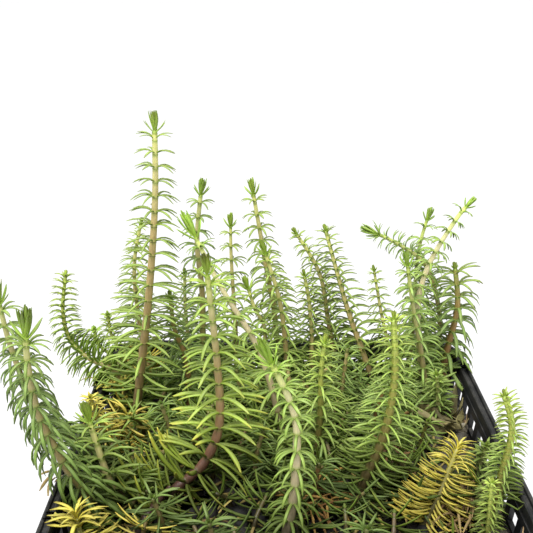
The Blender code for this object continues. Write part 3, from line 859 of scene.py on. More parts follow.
class LeafRecipe(Recipe):
    """What the recipes that lay out leaves have in common."""

    SEGMENTS = 5
    SIDES = 5
    THICKNESS = 0.055  # of a leaf 1 long and 1 wide
    TAPER = ((0.0, 0.55), (0.3, 1.0), (0.7, 0.95), (1.0, 0.3))
    SOFT = 7.0  # the last millimetres before a limit, in which leaves are squeezed
    SLACK = 2.0  # how far past the frame's box the leaves may reach
    PEN = 50.6  # how far low leaves inside the basket may reach

    def leaf(self, form: LeafForm) -> Socket:
        """A leaf of length and width 1, as an instance, with its length kept as along.

        Args:
            form: How the leaf bends.

        Returns:
            The leaf.
        """
        sockets = {"Resolution": self.SEGMENTS, "Start": (0.0, 0.0, 0.0), "Middle": form.middle,
                   "End": form.end}
        curve = self.add("GeometryNodeCurveQuadraticBezier", sockets).outputs[0]
        along = self.add("GeometryNodeSplineParameter").outputs["Factor"]
        curve = self.store(curve, "along", along)
        taper = self.add("ShaderNodeFloatCurve", {"Value": along})
        points = taper.mapping.curves[0].points
        points[0].location, points[1].location = self.TAPER[0], self.TAPER[-1]
        for place in self.TAPER[1:-1]:
            points.new(*place)
        taper.mapping.update()
        circle = self.add("GeometryNodeCurvePrimitiveCircle", {"Resolution": self.SIDES, "Radius": 0.5})
        turned = self.add("GeometryNodeTransform", {
            0: circle.outputs[0], "Rotation": (0.0, 0.0, math.pi / 2)})
        profile = self.add("GeometryNodeTransform", {
            0: turned.outputs[0], "Scale": (1.0, self.THICKNESS, 1.0)})
        sockets = {"Curve": curve, "Profile Curve": profile.outputs[0], "Scale": taper.outputs[0],
                   "Fill Caps": True}
        swept = self.add("GeometryNodeCurveToMesh", sockets).outputs[0]
        return self.add("GeometryNodeGeometryToInstance", {0: swept}).outputs[0]

    def strewn(self, points: Socket, selection: Any, forms: tuple[LeafForm, ...], rotation: Socket,
               scale: Socket, seed: Any) -> Socket:
        """Leaves of several forms on points.

        Args:
            points: Where they go.
            selection: Which of the points get one.
            forms: The forms that they are drawn from.
            rotation: How each is turned.
            scale: Its length, width and height.
            seed: The seed of the draw.

        Returns:
            The leaves as instances, each with a random tint.
        """
        pick = self.add("FunctionNodeRandomValue", {4: 0, 5: len(forms) - 1, "Seed": seed}, data_type="INT")
        sockets = {
            "Points": points, "Selection": selection, "Pick Instance": True, "Rotation": rotation,
            "Scale": scale,
            "Instance": self.join(*(self.leaf(form) for form in forms)), "Instance Index": pick.outputs[2],
        }
        leaves = self.add("GeometryNodeInstanceOnPoints", sockets).outputs[0]
        return self.store(leaves, "tint", self.chance(0.0, 1.0, seed), "INSTANCE")

    def rooted(self, points: Socket) -> Socket:
        """The points, each with its own place kept on it as the root of its leaf."""
        place = self.add("GeometryNodeInputPosition").outputs[0]
        return self.store(points, "root", place, kind="FLOAT_VECTOR")

    def held(self, value: Socket, root: Socket, limit: Socket, side: float) -> Socket:
        """A coordinate squeezed softly between a leaf's root and a limit.

        Args:
            value: The coordinate.
            root: The same coordinate of the leaf's root, which stays where it is.
            limit: The limit.
            side: 1.0 for a limit above, -1.0 for one below.

        Returns:
            The coordinate within the limit.
        """
        value, root, limit = (self.maths("MULTIPLY", item, side) for item in (value, root, limit))
        start = self.maths("MAXIMUM", self.maths("SUBTRACT", limit, self.SOFT * MM), root)
        room = self.maths("MAXIMUM", self.maths("SUBTRACT", limit, start), 0.4 * MM)
        excess = self.maths("MAXIMUM", self.maths("SUBTRACT", value, start), 0.0)
        eased = self.maths("DIVIDE", excess, self.maths("ADD", self.maths("DIVIDE", excess, room), 1.0))
        value = self.maths("SUBTRACT", value, self.maths("SUBTRACT", excess, eased))
        return self.maths("MULTIPLY", value, side)

    def settled(self, geometry: Socket) -> Socket:
        """The leaves kept clear of the gravel and the rim, and within the frame's box.

        Args:
            geometry: The leaves.

        Returns:
            The leaves in their place.
        """
        *place, height, _ = self.split(self.add("GeometryNodeInputPosition").outputs[0])
        *root, root_height, root_reach = self.split(self.read("root", "FLOAT_VECTOR"))
        inner = RIM_HALF - LIP_WIDTH
        penned = self.maths("MULTIPLY", self.maths("LESS_THAN", root_height, (RIM_TOP - 2.5) * MM),
                            self.maths("LESS_THAN", root_reach, inner * MM))
        sides = []
        for number, value in enumerate(place):
            low, high = (corner[number] for corner in FRAME_BOX)
            for limit, side in ((low - self.SLACK * MM, -1.0), (high + self.SLACK * MM, 1.0)):
                limit = self.span(penned, 0.0, 1.0, limit, side * self.PEN * MM)
                value = self.held(value, root[number], limit, side)
            sides.append(value)
        reach = self.maths("MAXIMUM", *(self.maths("ABSOLUTE", side) for side in sides))
        low, high = (GRAVEL_TOP + 0.9) * MM, (RIM_TOP + 0.4) * MM
        free = self.maths("SUBTRACT", 1.0, penned)
        rise = self.maths("MULTIPLY", free,
                          self.span(reach, (inner - 3.5) * MM, (inner - 0.3) * MM, 0.0, high - low))
        outside = self.span(reach, (RIM_HALF + 0.2) * MM, (RIM_HALF + 3.0) * MM, high, high - 40 * MM)
        floor = self.maths("MINIMUM", self.maths("ADD", rise, low), outside)
        settled = self.vector(*sides, self.maths("MAXIMUM", height, floor))
        return self.add("GeometryNodeSetPosition", {"Geometry": geometry, "Position": settled}).outputs[0]


class ShootRecipe(LeafRecipe):
    """Grows stems and their whorls of leaves along spines that carry their sizes."""

    def __init__(self) -> None:
        """Builds the tree."""
        super().__init__("Shoot", {
            "Stem Sides": int, "Spin Jitter": float, "Lift Jitter": float, "Seed": int,
            "Stem Finish": bpy.types.Material, "Leaf Finish": bpy.types.Material,
        })
        self.end(self.join(self.stem(), self.whorls()))

    def stem(self) -> Socket:
        """The stems, swept along the spines with the girth that each point carries.

        Returns:
            The stems.
        """
        curve = self.add("GeometryNodeMeshToCurve", {"Mesh": self.given["Base"]}).outputs[0]
        circle = self.add("GeometryNodeCurvePrimitiveCircle", {
            "Resolution": self.given["Stem Sides"], "Radius": 1.0})
        sockets = {
            "Curve": curve, "Profile Curve": circle.outputs[0], "Scale": self.read("girth"),
            "Fill Caps": True,
        }
        return self.dressed(self.add("GeometryNodeCurveToMesh", sockets).outputs[0],
                            self.given["Stem Finish"])

    def rotation(self, number: Socket, count: Socket) -> Socket:
        """How the leaf of that number in its whorl is turned.

        Args:
            number: The leaf's number in its whorl.
            count: The whorl's leaves.

        Returns:
            The rotation.
        """
        seed = self.given["Seed"]
        turn = self.maths("MULTIPLY", self.maths("DIVIDE", number, count), math.tau)
        swing = self.maths("MULTIPLY", self.chance(-1.0, 1.0, seed), self.given["Spin Jitter"])
        even = self.maths("ADD", self.maths("ADD", turn, self.read("twist")), swing)
        crowding = self.maths("MULTIPLY", self.maths("SINE", self.maths("MULTIPLY", even, 2.0)),
                              self.read("sweep"))
        spin = self.maths("SUBTRACT", even, crowding)
        sway = self.maths("MULTIPLY", self.chance(-1.0, 1.0, self.maths("ADD", seed, 1)),
                          self.given["Lift Jitter"])
        dip = self.maths("MULTIPLY", self.maths("ADD", self.read("lift"), sway), -1.0)
        tilt = self.add("FunctionNodeEulerToRotation", {0: self.vector(0.0, dip, spin)})
        upright = self.add("FunctionNodeAlignRotationToVector", {
            "Vector": self.read("axis", "FLOAT_VECTOR")}, axis="Z")
        sockets = {"Rotation": upright.outputs[0], "Rotate By": tilt.outputs[0]}
        return self.add("FunctionNodeRotateRotation", sockets, rotation_space="LOCAL").outputs[0]

    def whorls(self) -> Socket:
        """The leaves, set evenly round the stem at each point that has a count.

        Returns:
            The leaves.
        """
        count = self.read("count")
        grows = self.add("FunctionNodeCompare", {0: count, 1: 0.5}).outputs[0]
        spots = self.add("GeometryNodeMeshToPoints", {
            "Mesh": self.given["Base"], "Selection": grows}).outputs[0]
        each = self.add("GeometryNodeDuplicateElements", {"Geometry": self.rooted(spots), "Amount": count},
                        domain="POINT")
        rotation = self.rotation(each.outputs[1], count)
        uneven = self.chance(0.88, 1.08, self.maths("ADD", self.given["Seed"], 2))
        length = self.maths("MULTIPLY", self.read("leaf"), uneven)
        scale = self.vector(length, self.read("breadth"), length)
        bunches = []
        for bend, forms in FORMS.items():
            apart = self.maths("ABSOLUTE", self.maths("SUBTRACT", self.read("bend"), float(bend.value)))
            fits = self.add("FunctionNodeCompare", {0: apart, 1: 0.5}, operation="LESS_THAN").outputs[0]
            bunches.append(self.strewn(each.outputs[0], fits, forms, rotation, scale, self.given["Seed"]))
        return self.settled(self.dressed(self.join(*bunches), self.given["Leaf Finish"]))


@dataclass
class Whorl:
    """One whorl: its distance below the tip, leaf length, lift in degrees, count and bend."""

    below: float
    leaf: float
    lift: float
    count: int
    bend: Bend = Bend.BUD


@dataclass
class Station:
    """One point of a spine, with every size that the recipe reads there."""

    place: np.ndarray
    axis: np.ndarray
    girth: float
    ring: float
    age: float
    dusk: float
    bud: float
    sweep: float
    count: float = 0.0
    leaf: float = 0.0
    lift: float = 0.0
    twist: float = 0.0
    breadth: float = 0.0
    bend: float = 0.0


class Spine:
    """A shoot's centre line, measured from its rooted end below the gravel."""

    SPAN_STEPS = 24
    ROOTED = 4.0

    def __init__(self, shoot: Shoot) -> None:
        """Runs a smooth curve through the shoot's points.

        Args:
            shoot: The shoot.
        """
        knots = [np.array(point, float) for point in ((*shoot.foot, GRAVEL_TOP + GAP), *shoot.route)]
        ends = [2 * knots[0] - knots[1], *knots, 2 * knots[-1] - knots[-2]]
        points = [knots[0] - (0, 0, self.ROOTED)]
        for a, b, c, d in zip(ends, ends[1:], ends[2:], ends[3:]):
            for step in range(self.SPAN_STEPS):
                t = step / self.SPAN_STEPS
                points.append(0.5 * (2 * b + (c - a) * t + (2 * a - 5 * b + 4 * c - d) * t**2
                                     + (3 * b - a - 3 * c + d) * t**3))
        points.append(knots[-1])
        self.points = np.array(points)
        steps = np.linalg.norm(np.diff(self.points, axis=0), axis=1)
        self.run = np.concatenate([[0.0], np.cumsum(steps)])
        self.length = float(self.run[-1])

    def at(self, distance: float) -> np.ndarray:
        """The point at a distance from the rooted end."""
        return np.array([np.interp(distance, self.run, self.points[:, axis]) for axis in range(3)])

    def axis(self, distance: float) -> np.ndarray:
        """The direction towards the tip at a distance from the rooted end."""
        ahead = self.at(distance + 0.8) - self.at(distance - 0.8)
        return ahead / np.linalg.norm(ahead)


@dataclass
class Grower:
    """Grows shoots by one recipe, from spines that carry their sizes."""

    bud_leaf: float = 8.0  # leaf length at which the bud has the sizes below
    bud: tuple[tuple[float, float, float, int], ...] = (
        (4.2, 4.2, 89, 5), (4.5, 4.6, 86, 8), (4.8, 4.7, 81, 9), (5.1, 3.9, 52, 4))
    bud_end: float = 4.6
    bud_width: float = 1.25
    front: tuple[float, float] = (-5.6, -175.0)  # whorls leave a gap towards this point
    rings: tuple[tuple[float, float], ...] = (
        (0.0, 1.0), (0.06, 0.75), (0.2, 0.25), (0.5, 0.0), (0.8, 0.2), (0.94, 0.6))
    tip_taper: float = 0.5
    collar: float = 0.1
    leaf_width: tuple[float, float] = (0.64, 0.36)
    age_scale: float = 90.0  # millimetres below the tip that count as fully old
    recipe: ShootRecipe = field(default_factory=ShootRecipe)
    finishes: dict[Tone, tuple[bpy.types.Material, bpy.types.Material]] = field(
        default_factory=lambda: {
            tone: (pair.leaf.build(), pair.stem.build()) for tone, pair in FINISHES.items()})

    def grow(self, name: str, shoots: Sequence[Shoot], seed: int) -> bpy.types.Object:
        """Grows shoots of one tone as one piece.

        Args:
            name: The piece's name.
            shoots: The shoots.
            seed: The seed of their unevenness.

        Returns:
            The piece, which rides on the root.
        """
        leaf, stem = self.finishes[shoots[0].tone]
        item = self.recipe.run(name, self.spines(shoots, seed), {
            "Stem Sides": 10, "Spin Jitter": 0.09, "Lift Jitter": 0.1, "Seed": seed,
            "Stem Finish": stem, "Leaf Finish": leaf,
        })
        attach(item, "root")
        return item

    def whorls(self, shoot: Shoot, length: float, rng: random.Random) -> list[Whorl]:
        """The whorls of one shoot.

        Args:
            shoot: The shoot.
            length: Its length above the gravel.
            rng: The source of its unevenness.

        Returns:
            Its whorls, from the tip down.
        """
        habit = shoot.habit
        size = self.bud_size(shoot)
        made = [Whorl(below * size, leaf * size, lift, count)
                for below, leaf, lift, count in self.bud if size]
        start = self.bud_end * size
        below = start if size else -habit.step_near_tip
        while True:
            share = max(0.0, below / length)
            step = habit.step_near_tip + (habit.step_near_foot - habit.step_near_tip) * share
            step *= 0.65 if below == start else 1.0
            below += step * rng.uniform(0.94, 1.06)
            share = max(0.0, below / length)
            if below > length - 0.8:
                return made
            leaf = shoot.leaf * (habit.young + habit.gain * share) * rng.uniform(0.95, 1.05)
            lift = 7.0 - 9.0 * share + habit.perk * min(1.0, 2.5 * share) + rng.gauss(0.0, 2.5)
            lift += 40.0 * math.exp((start - below) / 4.0)
            bend = habit.bend if share < habit.bent_to else Bend.LONG
            bend = bend if share < habit.sags_from else Bend.SAGGING
            count = 6 + habit.more + round(
                min(2.0, (below - start) / 5.0) + 2.2 * share + rng.uniform(-0.4, 0.4))
            made.append(Whorl(max(0.3, below), leaf, lift, count, bend))

    def stations(self, shoot: Shoot, rng: random.Random) -> list[Station]:
        """The points of one shoot's spine.

        Args:
            shoot: The shoot.
            rng: The source of its unevenness.

        Returns:
            The points from the rooted end to the tip.
        """
        spine = Spine(shoot)
        whorls = self.whorls(shoot, spine.length - Spine.ROOTED, rng)[::-1]
        nodes = [0.0, *(spine.length - whorl.below for whorl in whorls)]
        nodes.append(nodes[-1] + 0.6)
        made = []
        for number, (low, high) in enumerate(zip(nodes, nodes[1:])):
            for share, ring in self.rings[:1] if high - low < 1.2 else self.rings:
                distance = low + share * (high - low)
                swollen = min(1.0, max(0.1, 2.5 * (0.7 - distance / spine.length)))
                bulge = (1.0 + shoot.habit.beads * swollen * math.sin(math.pi * share)
                         + self.collar * (share == 0.0))
                inside = self.inside_bud(spine.length - distance, shoot)
                bulge *= 1.0 - 0.65 * inside
                made.append(Station(
                    spine.at(distance), spine.axis(distance),
                    girth=shoot.radius * (1.0 - self.tip_taper * distance / spine.length) * bulge * MM,
                    ring=ring, age=shoot.habit.aged + (spine.length - distance) / self.age_scale,
                    dusk=shoot.habit.dusk,
                    bud=min(1.0, 5.0 * inside), sweep=shoot.habit.sweep))
                if share == 0.0 and number > 0:
                    self.crown(made[-1], whorls[number - 1], shoot, spine.length, rng)
        end = replace(made[-1], place=spine.at(nodes[-1]), girth=0.4 * made[-1].girth, ring=0.0, count=0.0)
        return [*made, end]

    def bud_size(self, shoot: Shoot) -> float:
        """How big a shoot's bud is next to the one that the grower's sizes give."""
        return shoot.habit.bud * shoot.leaf / self.bud_leaf

    def inside_bud(self, below: float, shoot: Shoot) -> float:
        """How deep inside the bud a point of the stem is, from 0 at its base to 1 near its tip.

        Args:
            below: How far the point is below the tip.
            shoot: The shoot.

        Returns:
            The depth.
        """
        size = self.bud_size(shoot)
        start, end = self.bud[-1][0] * size, self.bud[0][0] * size
        return min(1.0, max(0.0, (start - below) / (start - end))) if size else 0.0

    def crown(self, station: Station, whorl: Whorl, shoot: Shoot, length: float, rng: random.Random) -> None:
        """Gives a point of a spine its whorl.

        Args:
            station: The point.
            whorl: Its whorl.
            shoot: The shoot.
            length: The shoot's length above the gravel.
            rng: The source of its unevenness.
        """
        width = self.leaf_width[0] + self.leaf_width[1] * min(1.0, whorl.leaf / 12.0)
        lower = min(1.0, max(0.0, 2.5 * (whorl.below / length - 0.1)))
        wide = self.bud_width if whorl.bend is Bend.BUD else 1.0 + (shoot.habit.wide - 1.0) * lower
        if whorl.bend is Bend.BUD and whorl.lift < 80.0:
            station.dusk *= 0.4
        station.count = whorl.count
        station.leaf = whorl.leaf * MM
        station.lift = math.radians(whorl.lift)
        facing = math.atan2(self.front[1] - station.place[1], self.front[0] - station.place[0])
        station.twist = facing + math.pi / whorl.count + rng.gauss(0.0, 0.3 - 0.6 * shoot.habit.sweep)
        station.breadth = shoot.habit.slim * width * wide * MM
        station.bend = whorl.bend.value

    def spines(self, shoots: Sequence[Shoot], seed: int) -> bpy.types.Mesh:
        """The spines of some shoots as chains of edges, with every size that the recipe reads.

        Args:
            shoots: The shoots.
            seed: The seed of their unevenness.

        Returns:
            The chains.
        """
        chains = [self.stations(shoot, random.Random(1000 * seed + number))
                  for number, shoot in enumerate(shoots)]
        stations = [station for chain in chains for station in chain]
        edges, start = [], 0
        for chain in chains:
            edges += [(start + step, start + step + 1) for step in range(len(chain) - 1)]
            start += len(chain)
        mesh = bpy.data.meshes.new("spines")
        mesh.from_pydata([(station.place * MM).tolist() for station in stations], edges, [])
        for size in fields(Station)[2:]:
            numbers = [getattr(station, size.name) for station in stations]
            mesh.attributes.new(size.name, "FLOAT", "POINT").data.foreach_set("value", numbers)
        axes = np.array([station.axis for station in stations])
        mesh.attributes.new("axis", "FLOAT_VECTOR", "POINT").data.foreach_set("vector", axes.ravel())
        return mesh


@dataclass
class Clump:
    """Every shoot that the frame has a node for."""

    grower: Grower

    def build(self) -> list[bpy.types.Object]:
        """Grows each shoot in place of its node.

        Returns:
            The shoots.
        """
        made = []
        for number, shoot in enumerate(SHOOTS, 1):
            item = self.grower.grow(f"marestail_{number:02d}", [shoot], number)
            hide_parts(f"shoot_{number:02d}")
            made.append(item)
        return made


@dataclass
class Undergrowth:
    """Low sprigs that fill the spaces between the shoots, as one piece for each tone."""

    grower: Grower
    tries: int = 4000
    spacing: float = 7.0
    stem_room: float = 4.0
    stone_room: float = 5.0
    reach: float = 48.0
    radius: float = 0.75
    seed: int = 61
    runner: Shoot = Shoot(
        1.3, 9.0, (-35.0, -26.5), ((-33, -23.7, 104.3), (-30.5, -19, 105.3), (-28.5, -16, 106.3)),
        Tone.RED, RUNNER)

    def build(self) -> list[bpy.types.Object]:
        """Grows the sprigs and the beaded runner at the front.

        Returns:
            One piece for each tone.
        """
        sprigs = [*self.sprigs(), self.runner]
        tones = [tone for tone in Tone if any(sprig.tone is tone for sprig in sprigs)]
        return [self.grower.grow(f"undergrowth_{tone.value}",
                                 [s for s in sprigs if s.tone is tone], 80 + number)
                for number, tone in enumerate(tones)]

    def bare(self, x: float, y: float) -> bool:
        """Whether the picture shows stones and dead leaves at a place, in place of green growth."""
        return x > 32.0 and -12.0 < y < 48.0 or -38.0 < x < -14.0 and -32.0 < y < -10.0

    def tone(self, x: float, y: float, rng: random.Random) -> Tone:
        """The tone of a sprig, by where it stands.

        Args:
            x: Where it stands, to the right.
            y: Where it stands, to the back.
            rng: The source of the choice.

        Returns:
            The tone.
        """
        if x < -38.0 and y > 8.0 or x < -30.0 and y < -26.0:
            return rng.choice((Tone.YELLOW, Tone.OLIVE, Tone.YELLOW, Tone.RED))
        if y > 26.0:
            return rng.choice((Tone.DARK, Tone.DARK, Tone.GREEN))
        if y < -16.0:
            return rng.choice((Tone.OLIVE, Tone.GREEN, Tone.RED, Tone.DARK))
        return rng.choice((Tone.GREEN, Tone.DARK, Tone.OLIVE, Tone.GREEN, Tone.BROWN))

    def sprigs(self) -> list[Shoot]:
        """Where each sprig stands and how it looks.

        Returns:
            The sprigs.
        """
        rng = random.Random(self.seed)
        stones = [np.mean(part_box(f"stone_{number:02d}"), axis=0)[:2] / MM for number in range(1, 8)]
        made: list[Shoot] = []
        for _ in range(self.tries):
            x, y = (rng.uniform(-self.reach, self.reach) for _ in range(2))
            spacing = self.spacing + (2.5 if y < -12.0 else 0.0)
            if (self.bare(x, y) or any(math.dist((x, y), sprig.foot) < spacing for sprig in made)
                    or any(math.dist((x, y), shoot.foot) < self.stem_room for shoot in SHOOTS)
                    or any(math.dist((x, y), stone) < self.stone_room for stone in stones)):
                continue
            height = rng.uniform(5.0, 10.0) + (3.0 if y > 0.0 else 0.0)
            side, swing = rng.uniform(0.0, math.tau), rng.uniform(3.0, 8.0)
            lean = tuple(max(-self.reach, min(self.reach, value + swing * part))
                         for value, part in ((x, math.cos(side)), (y, math.sin(side))))
            middle = (0.7 * x + 0.3 * lean[0], 0.7 * y + 0.3 * lean[1], GRAVEL_TOP + 0.6 * height)
            route = (middle, (*lean, GRAVEL_TOP + height))
            made.append(Shoot(self.radius, rng.uniform(8.0, 11.0), (x, y), route,
                              self.tone(x, y, rng), SPRIG))
        return made


def outline(half: float, corner: float, cells: int, corner_steps: int) -> list[tuple[float, float]]:
    """A square with rounded corners, as points in order.

    Args:
        half: Half its width.
        corner: The corners' radius.
        cells: How many steps each straight side has.
        corner_steps: How many steps each corner has.

    Returns:
        The points, anticlockwise from the lower end of the +X side.
    """
    straight = half - corner
    points = []
    for quarter in range(4):
        turn = Matrix.Rotation(quarter * math.pi / 2, 2)
        side = [(half, -straight + 2 * straight * step / cells) for step in range(cells)]
        bend = [(straight + corner * math.cos(angle), straight + corner * math.sin(angle))
                for angle in (step * math.pi / 2 / corner_steps for step in range(corner_steps))]
        points += [tuple(turn @ Vector(point)) for point in side + bend]
    return points


class PierceRecipe(Recipe):
    """Opens a hole in each marked cell of a surface, and leaves a frame round it."""

    def __init__(self) -> None:
        """Builds the tree."""
        super().__init__("Pierce", {"Hole Width": float, "Hole Height": float, "Finish": bpy.types.Material})
        marked = self.add("FunctionNodeCompare", {0: self.read("cell"), 1: 0.5}).outputs[0]
        sockets = {"Mesh": self.given["Base"], "Selection": marked, "Offset Scale": 0.0, "Individual": True}
        raised = self.add("GeometryNodeExtrudeMesh", sockets, mode="FACES")
        shape, top = raised.outputs["Mesh"], raised.outputs["Top"]
        for axis, share in (("across", "Hole Width"), ("upward", "Hole Height")):
            sockets = {"Geometry": shape, "Selection": top, "Scale": self.given[share],
                       "Axis": self.read(axis, "FLOAT_VECTOR")}
            shape = self.add("GeometryNodeScaleElements", sockets,
                             domain="FACE", scale_mode="SINGLE_AXIS").outputs[0]
        shape = self.add("GeometryNodeDeleteGeometry", {"Geometry": shape, "Selection": top},
                         domain="FACE").outputs[0]
        self.end(self.dressed(shape, self.given["Finish"]))


@dataclass
class Basket:
    """The square basket: a pierced wall and floor in one skin, and a lip with two ridges."""

    cells: int = 11
    corner_steps: int = 7
    rows: tuple[tuple[float, float, int], ...] = ((8.0, 38.0, 5), (42.0, 72.0, 5), (76.0, 105.9, 5))
    band_height: float = 0.5
    floor_rings: tuple[float, ...] = (9.0, 17.0, 25.0, 33.0)
    hole_width: float = 0.62
    hole_height: float = 0.74
    ridge: float = 1.1
    groove: float = 0.8

    def build(self) -> bpy.types.Object:
        """Makes the basket in place of its node.

        Returns:
            The basket.
        """
        finish = PlasticFinish().build()
        skin = PierceRecipe().run("basket_moulding", self.skin_mesh(), {
            "Hole Width": self.hole_width, "Hole Height": self.hole_height, "Finish": finish,
        })
        thick = skin.modifiers.new("wall", "SOLIDIFY")
        thick.thickness = WALL * MM
        thick.offset = -1.0
        graph = bpy.context.evaluated_depsgraph_get()
        walled = bpy.data.meshes.new_from_object(skin.evaluated_get(graph), depsgraph=graph)
        skin.modifiers.clear()
        shape = bmesh.new()
        shape.from_mesh(walled)
        shape.from_mesh(self.lip_mesh())
        shape.to_mesh(walled)
        shape.free()
        for face in walled.polygons:
            face.use_smooth = True
        walled.set_sharp_from_angle(angle=math.radians(35))
        skin.data = walled
        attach(skin, "root")
        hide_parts("basket")
        return skin

    def sections(self) -> list[tuple[float, float, float, bool]]:
        """The skin's profile from the middle of the floor to under the lip.

        Returns:
            Half width, corner radius, height and whether holes follow, for each ring.
        """
        made = [(half, half * 0.2, 0.0, 0 < number < 3) for number, half in enumerate(self.floor_rings)]
        made.append((BASE_HALF - 0.8, CORNER - 1.5, 0.0, False))
        made.append((BASE_HALF, CORNER - 1.0, 0.8, False))
        for low, high, count in self.rows:
            made.append((wall_half(low) + self.band_height, CORNER, low - 0.5, False))
            for step in range(count + 1):
                z = low + (high - low) * step / count
                made.append((wall_half(z), CORNER, z, step < count))
            made.append((wall_half(high) + self.band_height, CORNER, high + 0.5, False))
        return made[:-1] + [(wall_half(RIM_TOP - 3.0), CORNER, RIM_TOP - 3.0, False)]

    def skin_mesh(self) -> bpy.types.Mesh:
        """The open skin, with its cells marked and the directions across and up each of them.

        Returns:
            The skin.
        """
        shape = bmesh.new()
        cell = shape.faces.layers.float.new("cell")
        across = shape.faces.layers.float_vector.new("across")
        upward = shape.faces.layers.float_vector.new("upward")
        rings = []
        sections = self.sections()
        for half, corner, z, _ in sections:
            places = outline(half, corner, self.cells, self.corner_steps)
            rings.append([shape.verts.new((x * MM, y * MM, z * MM)) for x, y in places])
        per_side = self.cells + self.corner_steps
        for lower, upper, section in zip(rings, rings[1:], sections):
            for k, vert in enumerate(lower):
                after = (k + 1) % len(lower)
                face = shape.faces.new((vert, lower[after], upper[after], upper[k]))
                face[cell] = float(section[3] and k % per_side < self.cells)
                face[across] = (lower[after].co - vert.co).normalized()
                face[upward] = (upper[k].co - vert.co).normalized()
        shape.faces.new(rings[0][::-1])
        mesh = bpy.data.meshes.new("basket_skin")
        shape.to_mesh(mesh)
        shape.free()
        return mesh

    def lip_profile(self) -> list[tuple[float, float]]:
        """The lip's section as half widths and heights, with two rounded ridges on top.

        Returns:
            The section's points in order.
        """
        inner, under = RIM_HALF - LIP_WIDTH, RIM_TOP - LIP_HEIGHT
        centres = (RIM_HALF - self.ridge / 2, inner + self.ridge / 2)
        profile = [(wall_half(under) - 0.6, under), (RIM_HALF - 0.3, under), (RIM_HALF, under + 0.3)]
        for centre in centres:
            radius = self.ridge / 2
            for step in range(5):
                angle = step * math.pi / 4
                profile.append((centre + radius * math.cos(angle),
                                RIM_TOP - radius + radius * math.sin(angle)))
            if centre == centres[0]:
                profile += [(centre - radius, RIM_TOP - self.groove),
                            (centres[1] + radius, RIM_TOP - self.groove)]
        return profile + [(inner, under)]

    def lip_mesh(self) -> bpy.types.Mesh:
        """The closed lip, swept round the rim.

        Returns:
            The lip.
        """
        shape = bmesh.new()
        rings = []
        for half, z in self.lip_profile():
            places = outline(half, CORNER + half - WALL_TOP_HALF, self.cells, self.corner_steps)
            rings.append([shape.verts.new((x * MM, y * MM, z * MM)) for x, y in places])
        for lower, upper in zip(rings, rings[1:] + rings[:1]):
            for k, vert in enumerate(lower):
                after = (k + 1) % len(lower)
                shape.faces.new((vert, lower[after], upper[after], upper[k]))
        bmesh.ops.recalc_face_normals(shape, faces=shape.faces)
        mesh = bpy.data.meshes.new("lip")
        shape.to_mesh(mesh)
        shape.free()
        return mesh


class GrainRecipe(Recipe):
    """Strews worn stones of a few forms over a surface."""

    def __init__(self) -> None:
        """Builds the tree."""
        super().__init__("Grains", {
            "Spacing": float, "Smallest": float, "Largest": float, "Seed": int,
            "Grain Finish": bpy.types.Material, "Bed Finish": bpy.types.Material,
        })
        seed = self.given["Seed"]
        sockets = {"Mesh": self.given["Base"], 2: self.given["Spacing"], 3: 300000.0, "Seed": seed}
        sockets["Selection"] = self.add("FunctionNodeCompare", {0: self.read("strewn"), 1: 0.5}).outputs[0]
        spots = self.add("GeometryNodeDistributePointsOnFaces", sockets,
                         distribute_method="POISSON").outputs[0]
        turn = self.add("FunctionNodeRandomValue", {
            0: (0.0, 0.0, 0.0), 1: (0.5, 0.5, math.tau), "Seed": seed},
                        data_type="FLOAT_VECTOR").outputs[0]
        turn = self.add("FunctionNodeEulerToRotation", {0: turn}).outputs[0]
        size = self.add("FunctionNodeRandomValue", {
            2: self.given["Smallest"], 3: self.given["Largest"], "Seed": seed})
        pick = self.add("FunctionNodeRandomValue", {4: 0, 5: 3, "Seed": seed}, data_type="INT")
        sockets = {
            "Points": spots, "Instance": self.join(*(self.grain(number) for number in range(4))),
            "Pick Instance": True, "Instance Index": pick.outputs[2], "Rotation": turn,
            "Scale": size.outputs[1],
        }
        grains = self.add("GeometryNodeInstanceOnPoints", sockets).outputs[0]
        grains = self.store(grains, "tint", self.chance(0.0, 1.0, self.maths("ADD", seed, 5)), "INSTANCE")
        bed = self.store(self.given["Base"], "tint", 0.0)
        self.end(self.join(self.walled(self.dressed(grains, self.given["Grain Finish"])),
                           self.dressed(bed, self.given["Bed Finish"])))

    def grain(self, number: int) -> Socket:
        """One form of stone, of half size 1, as an instance.

        Args:
            number: The form's number.

        Returns:
            The stone.
        """
        ball = self.add("GeometryNodeMeshIcoSphere", {"Radius": 1.0, "Subdivisions": 2}).outputs[0]
        place = self.add("GeometryNodeInputPosition").outputs[0]
        shifted = self.add("ShaderNodeVectorMath", {
            0: place, 1: (7.3 * number, 2.1 * number, 4.7)}).outputs[0]
        swell = self.span(self.noise(shifted, 0.9, 1.0), 0.3, 0.7, 0.72, 1.22)
        grown = self.add("ShaderNodeVectorMath", {0: place, "Scale": swell}, operation="SCALE").outputs[0]
        worn = self.add("GeometryNodeSetPosition", {"Geometry": ball, "Position": grown}).outputs[0]
        flat = self.add("GeometryNodeTransform", {
            0: worn, "Scale": (1.0, 0.78 + 0.06 * number, 0.6 + 0.05 * number)})
        return self.add("GeometryNodeGeometryToInstance", {0: flat.outputs[0]}).outputs[0]


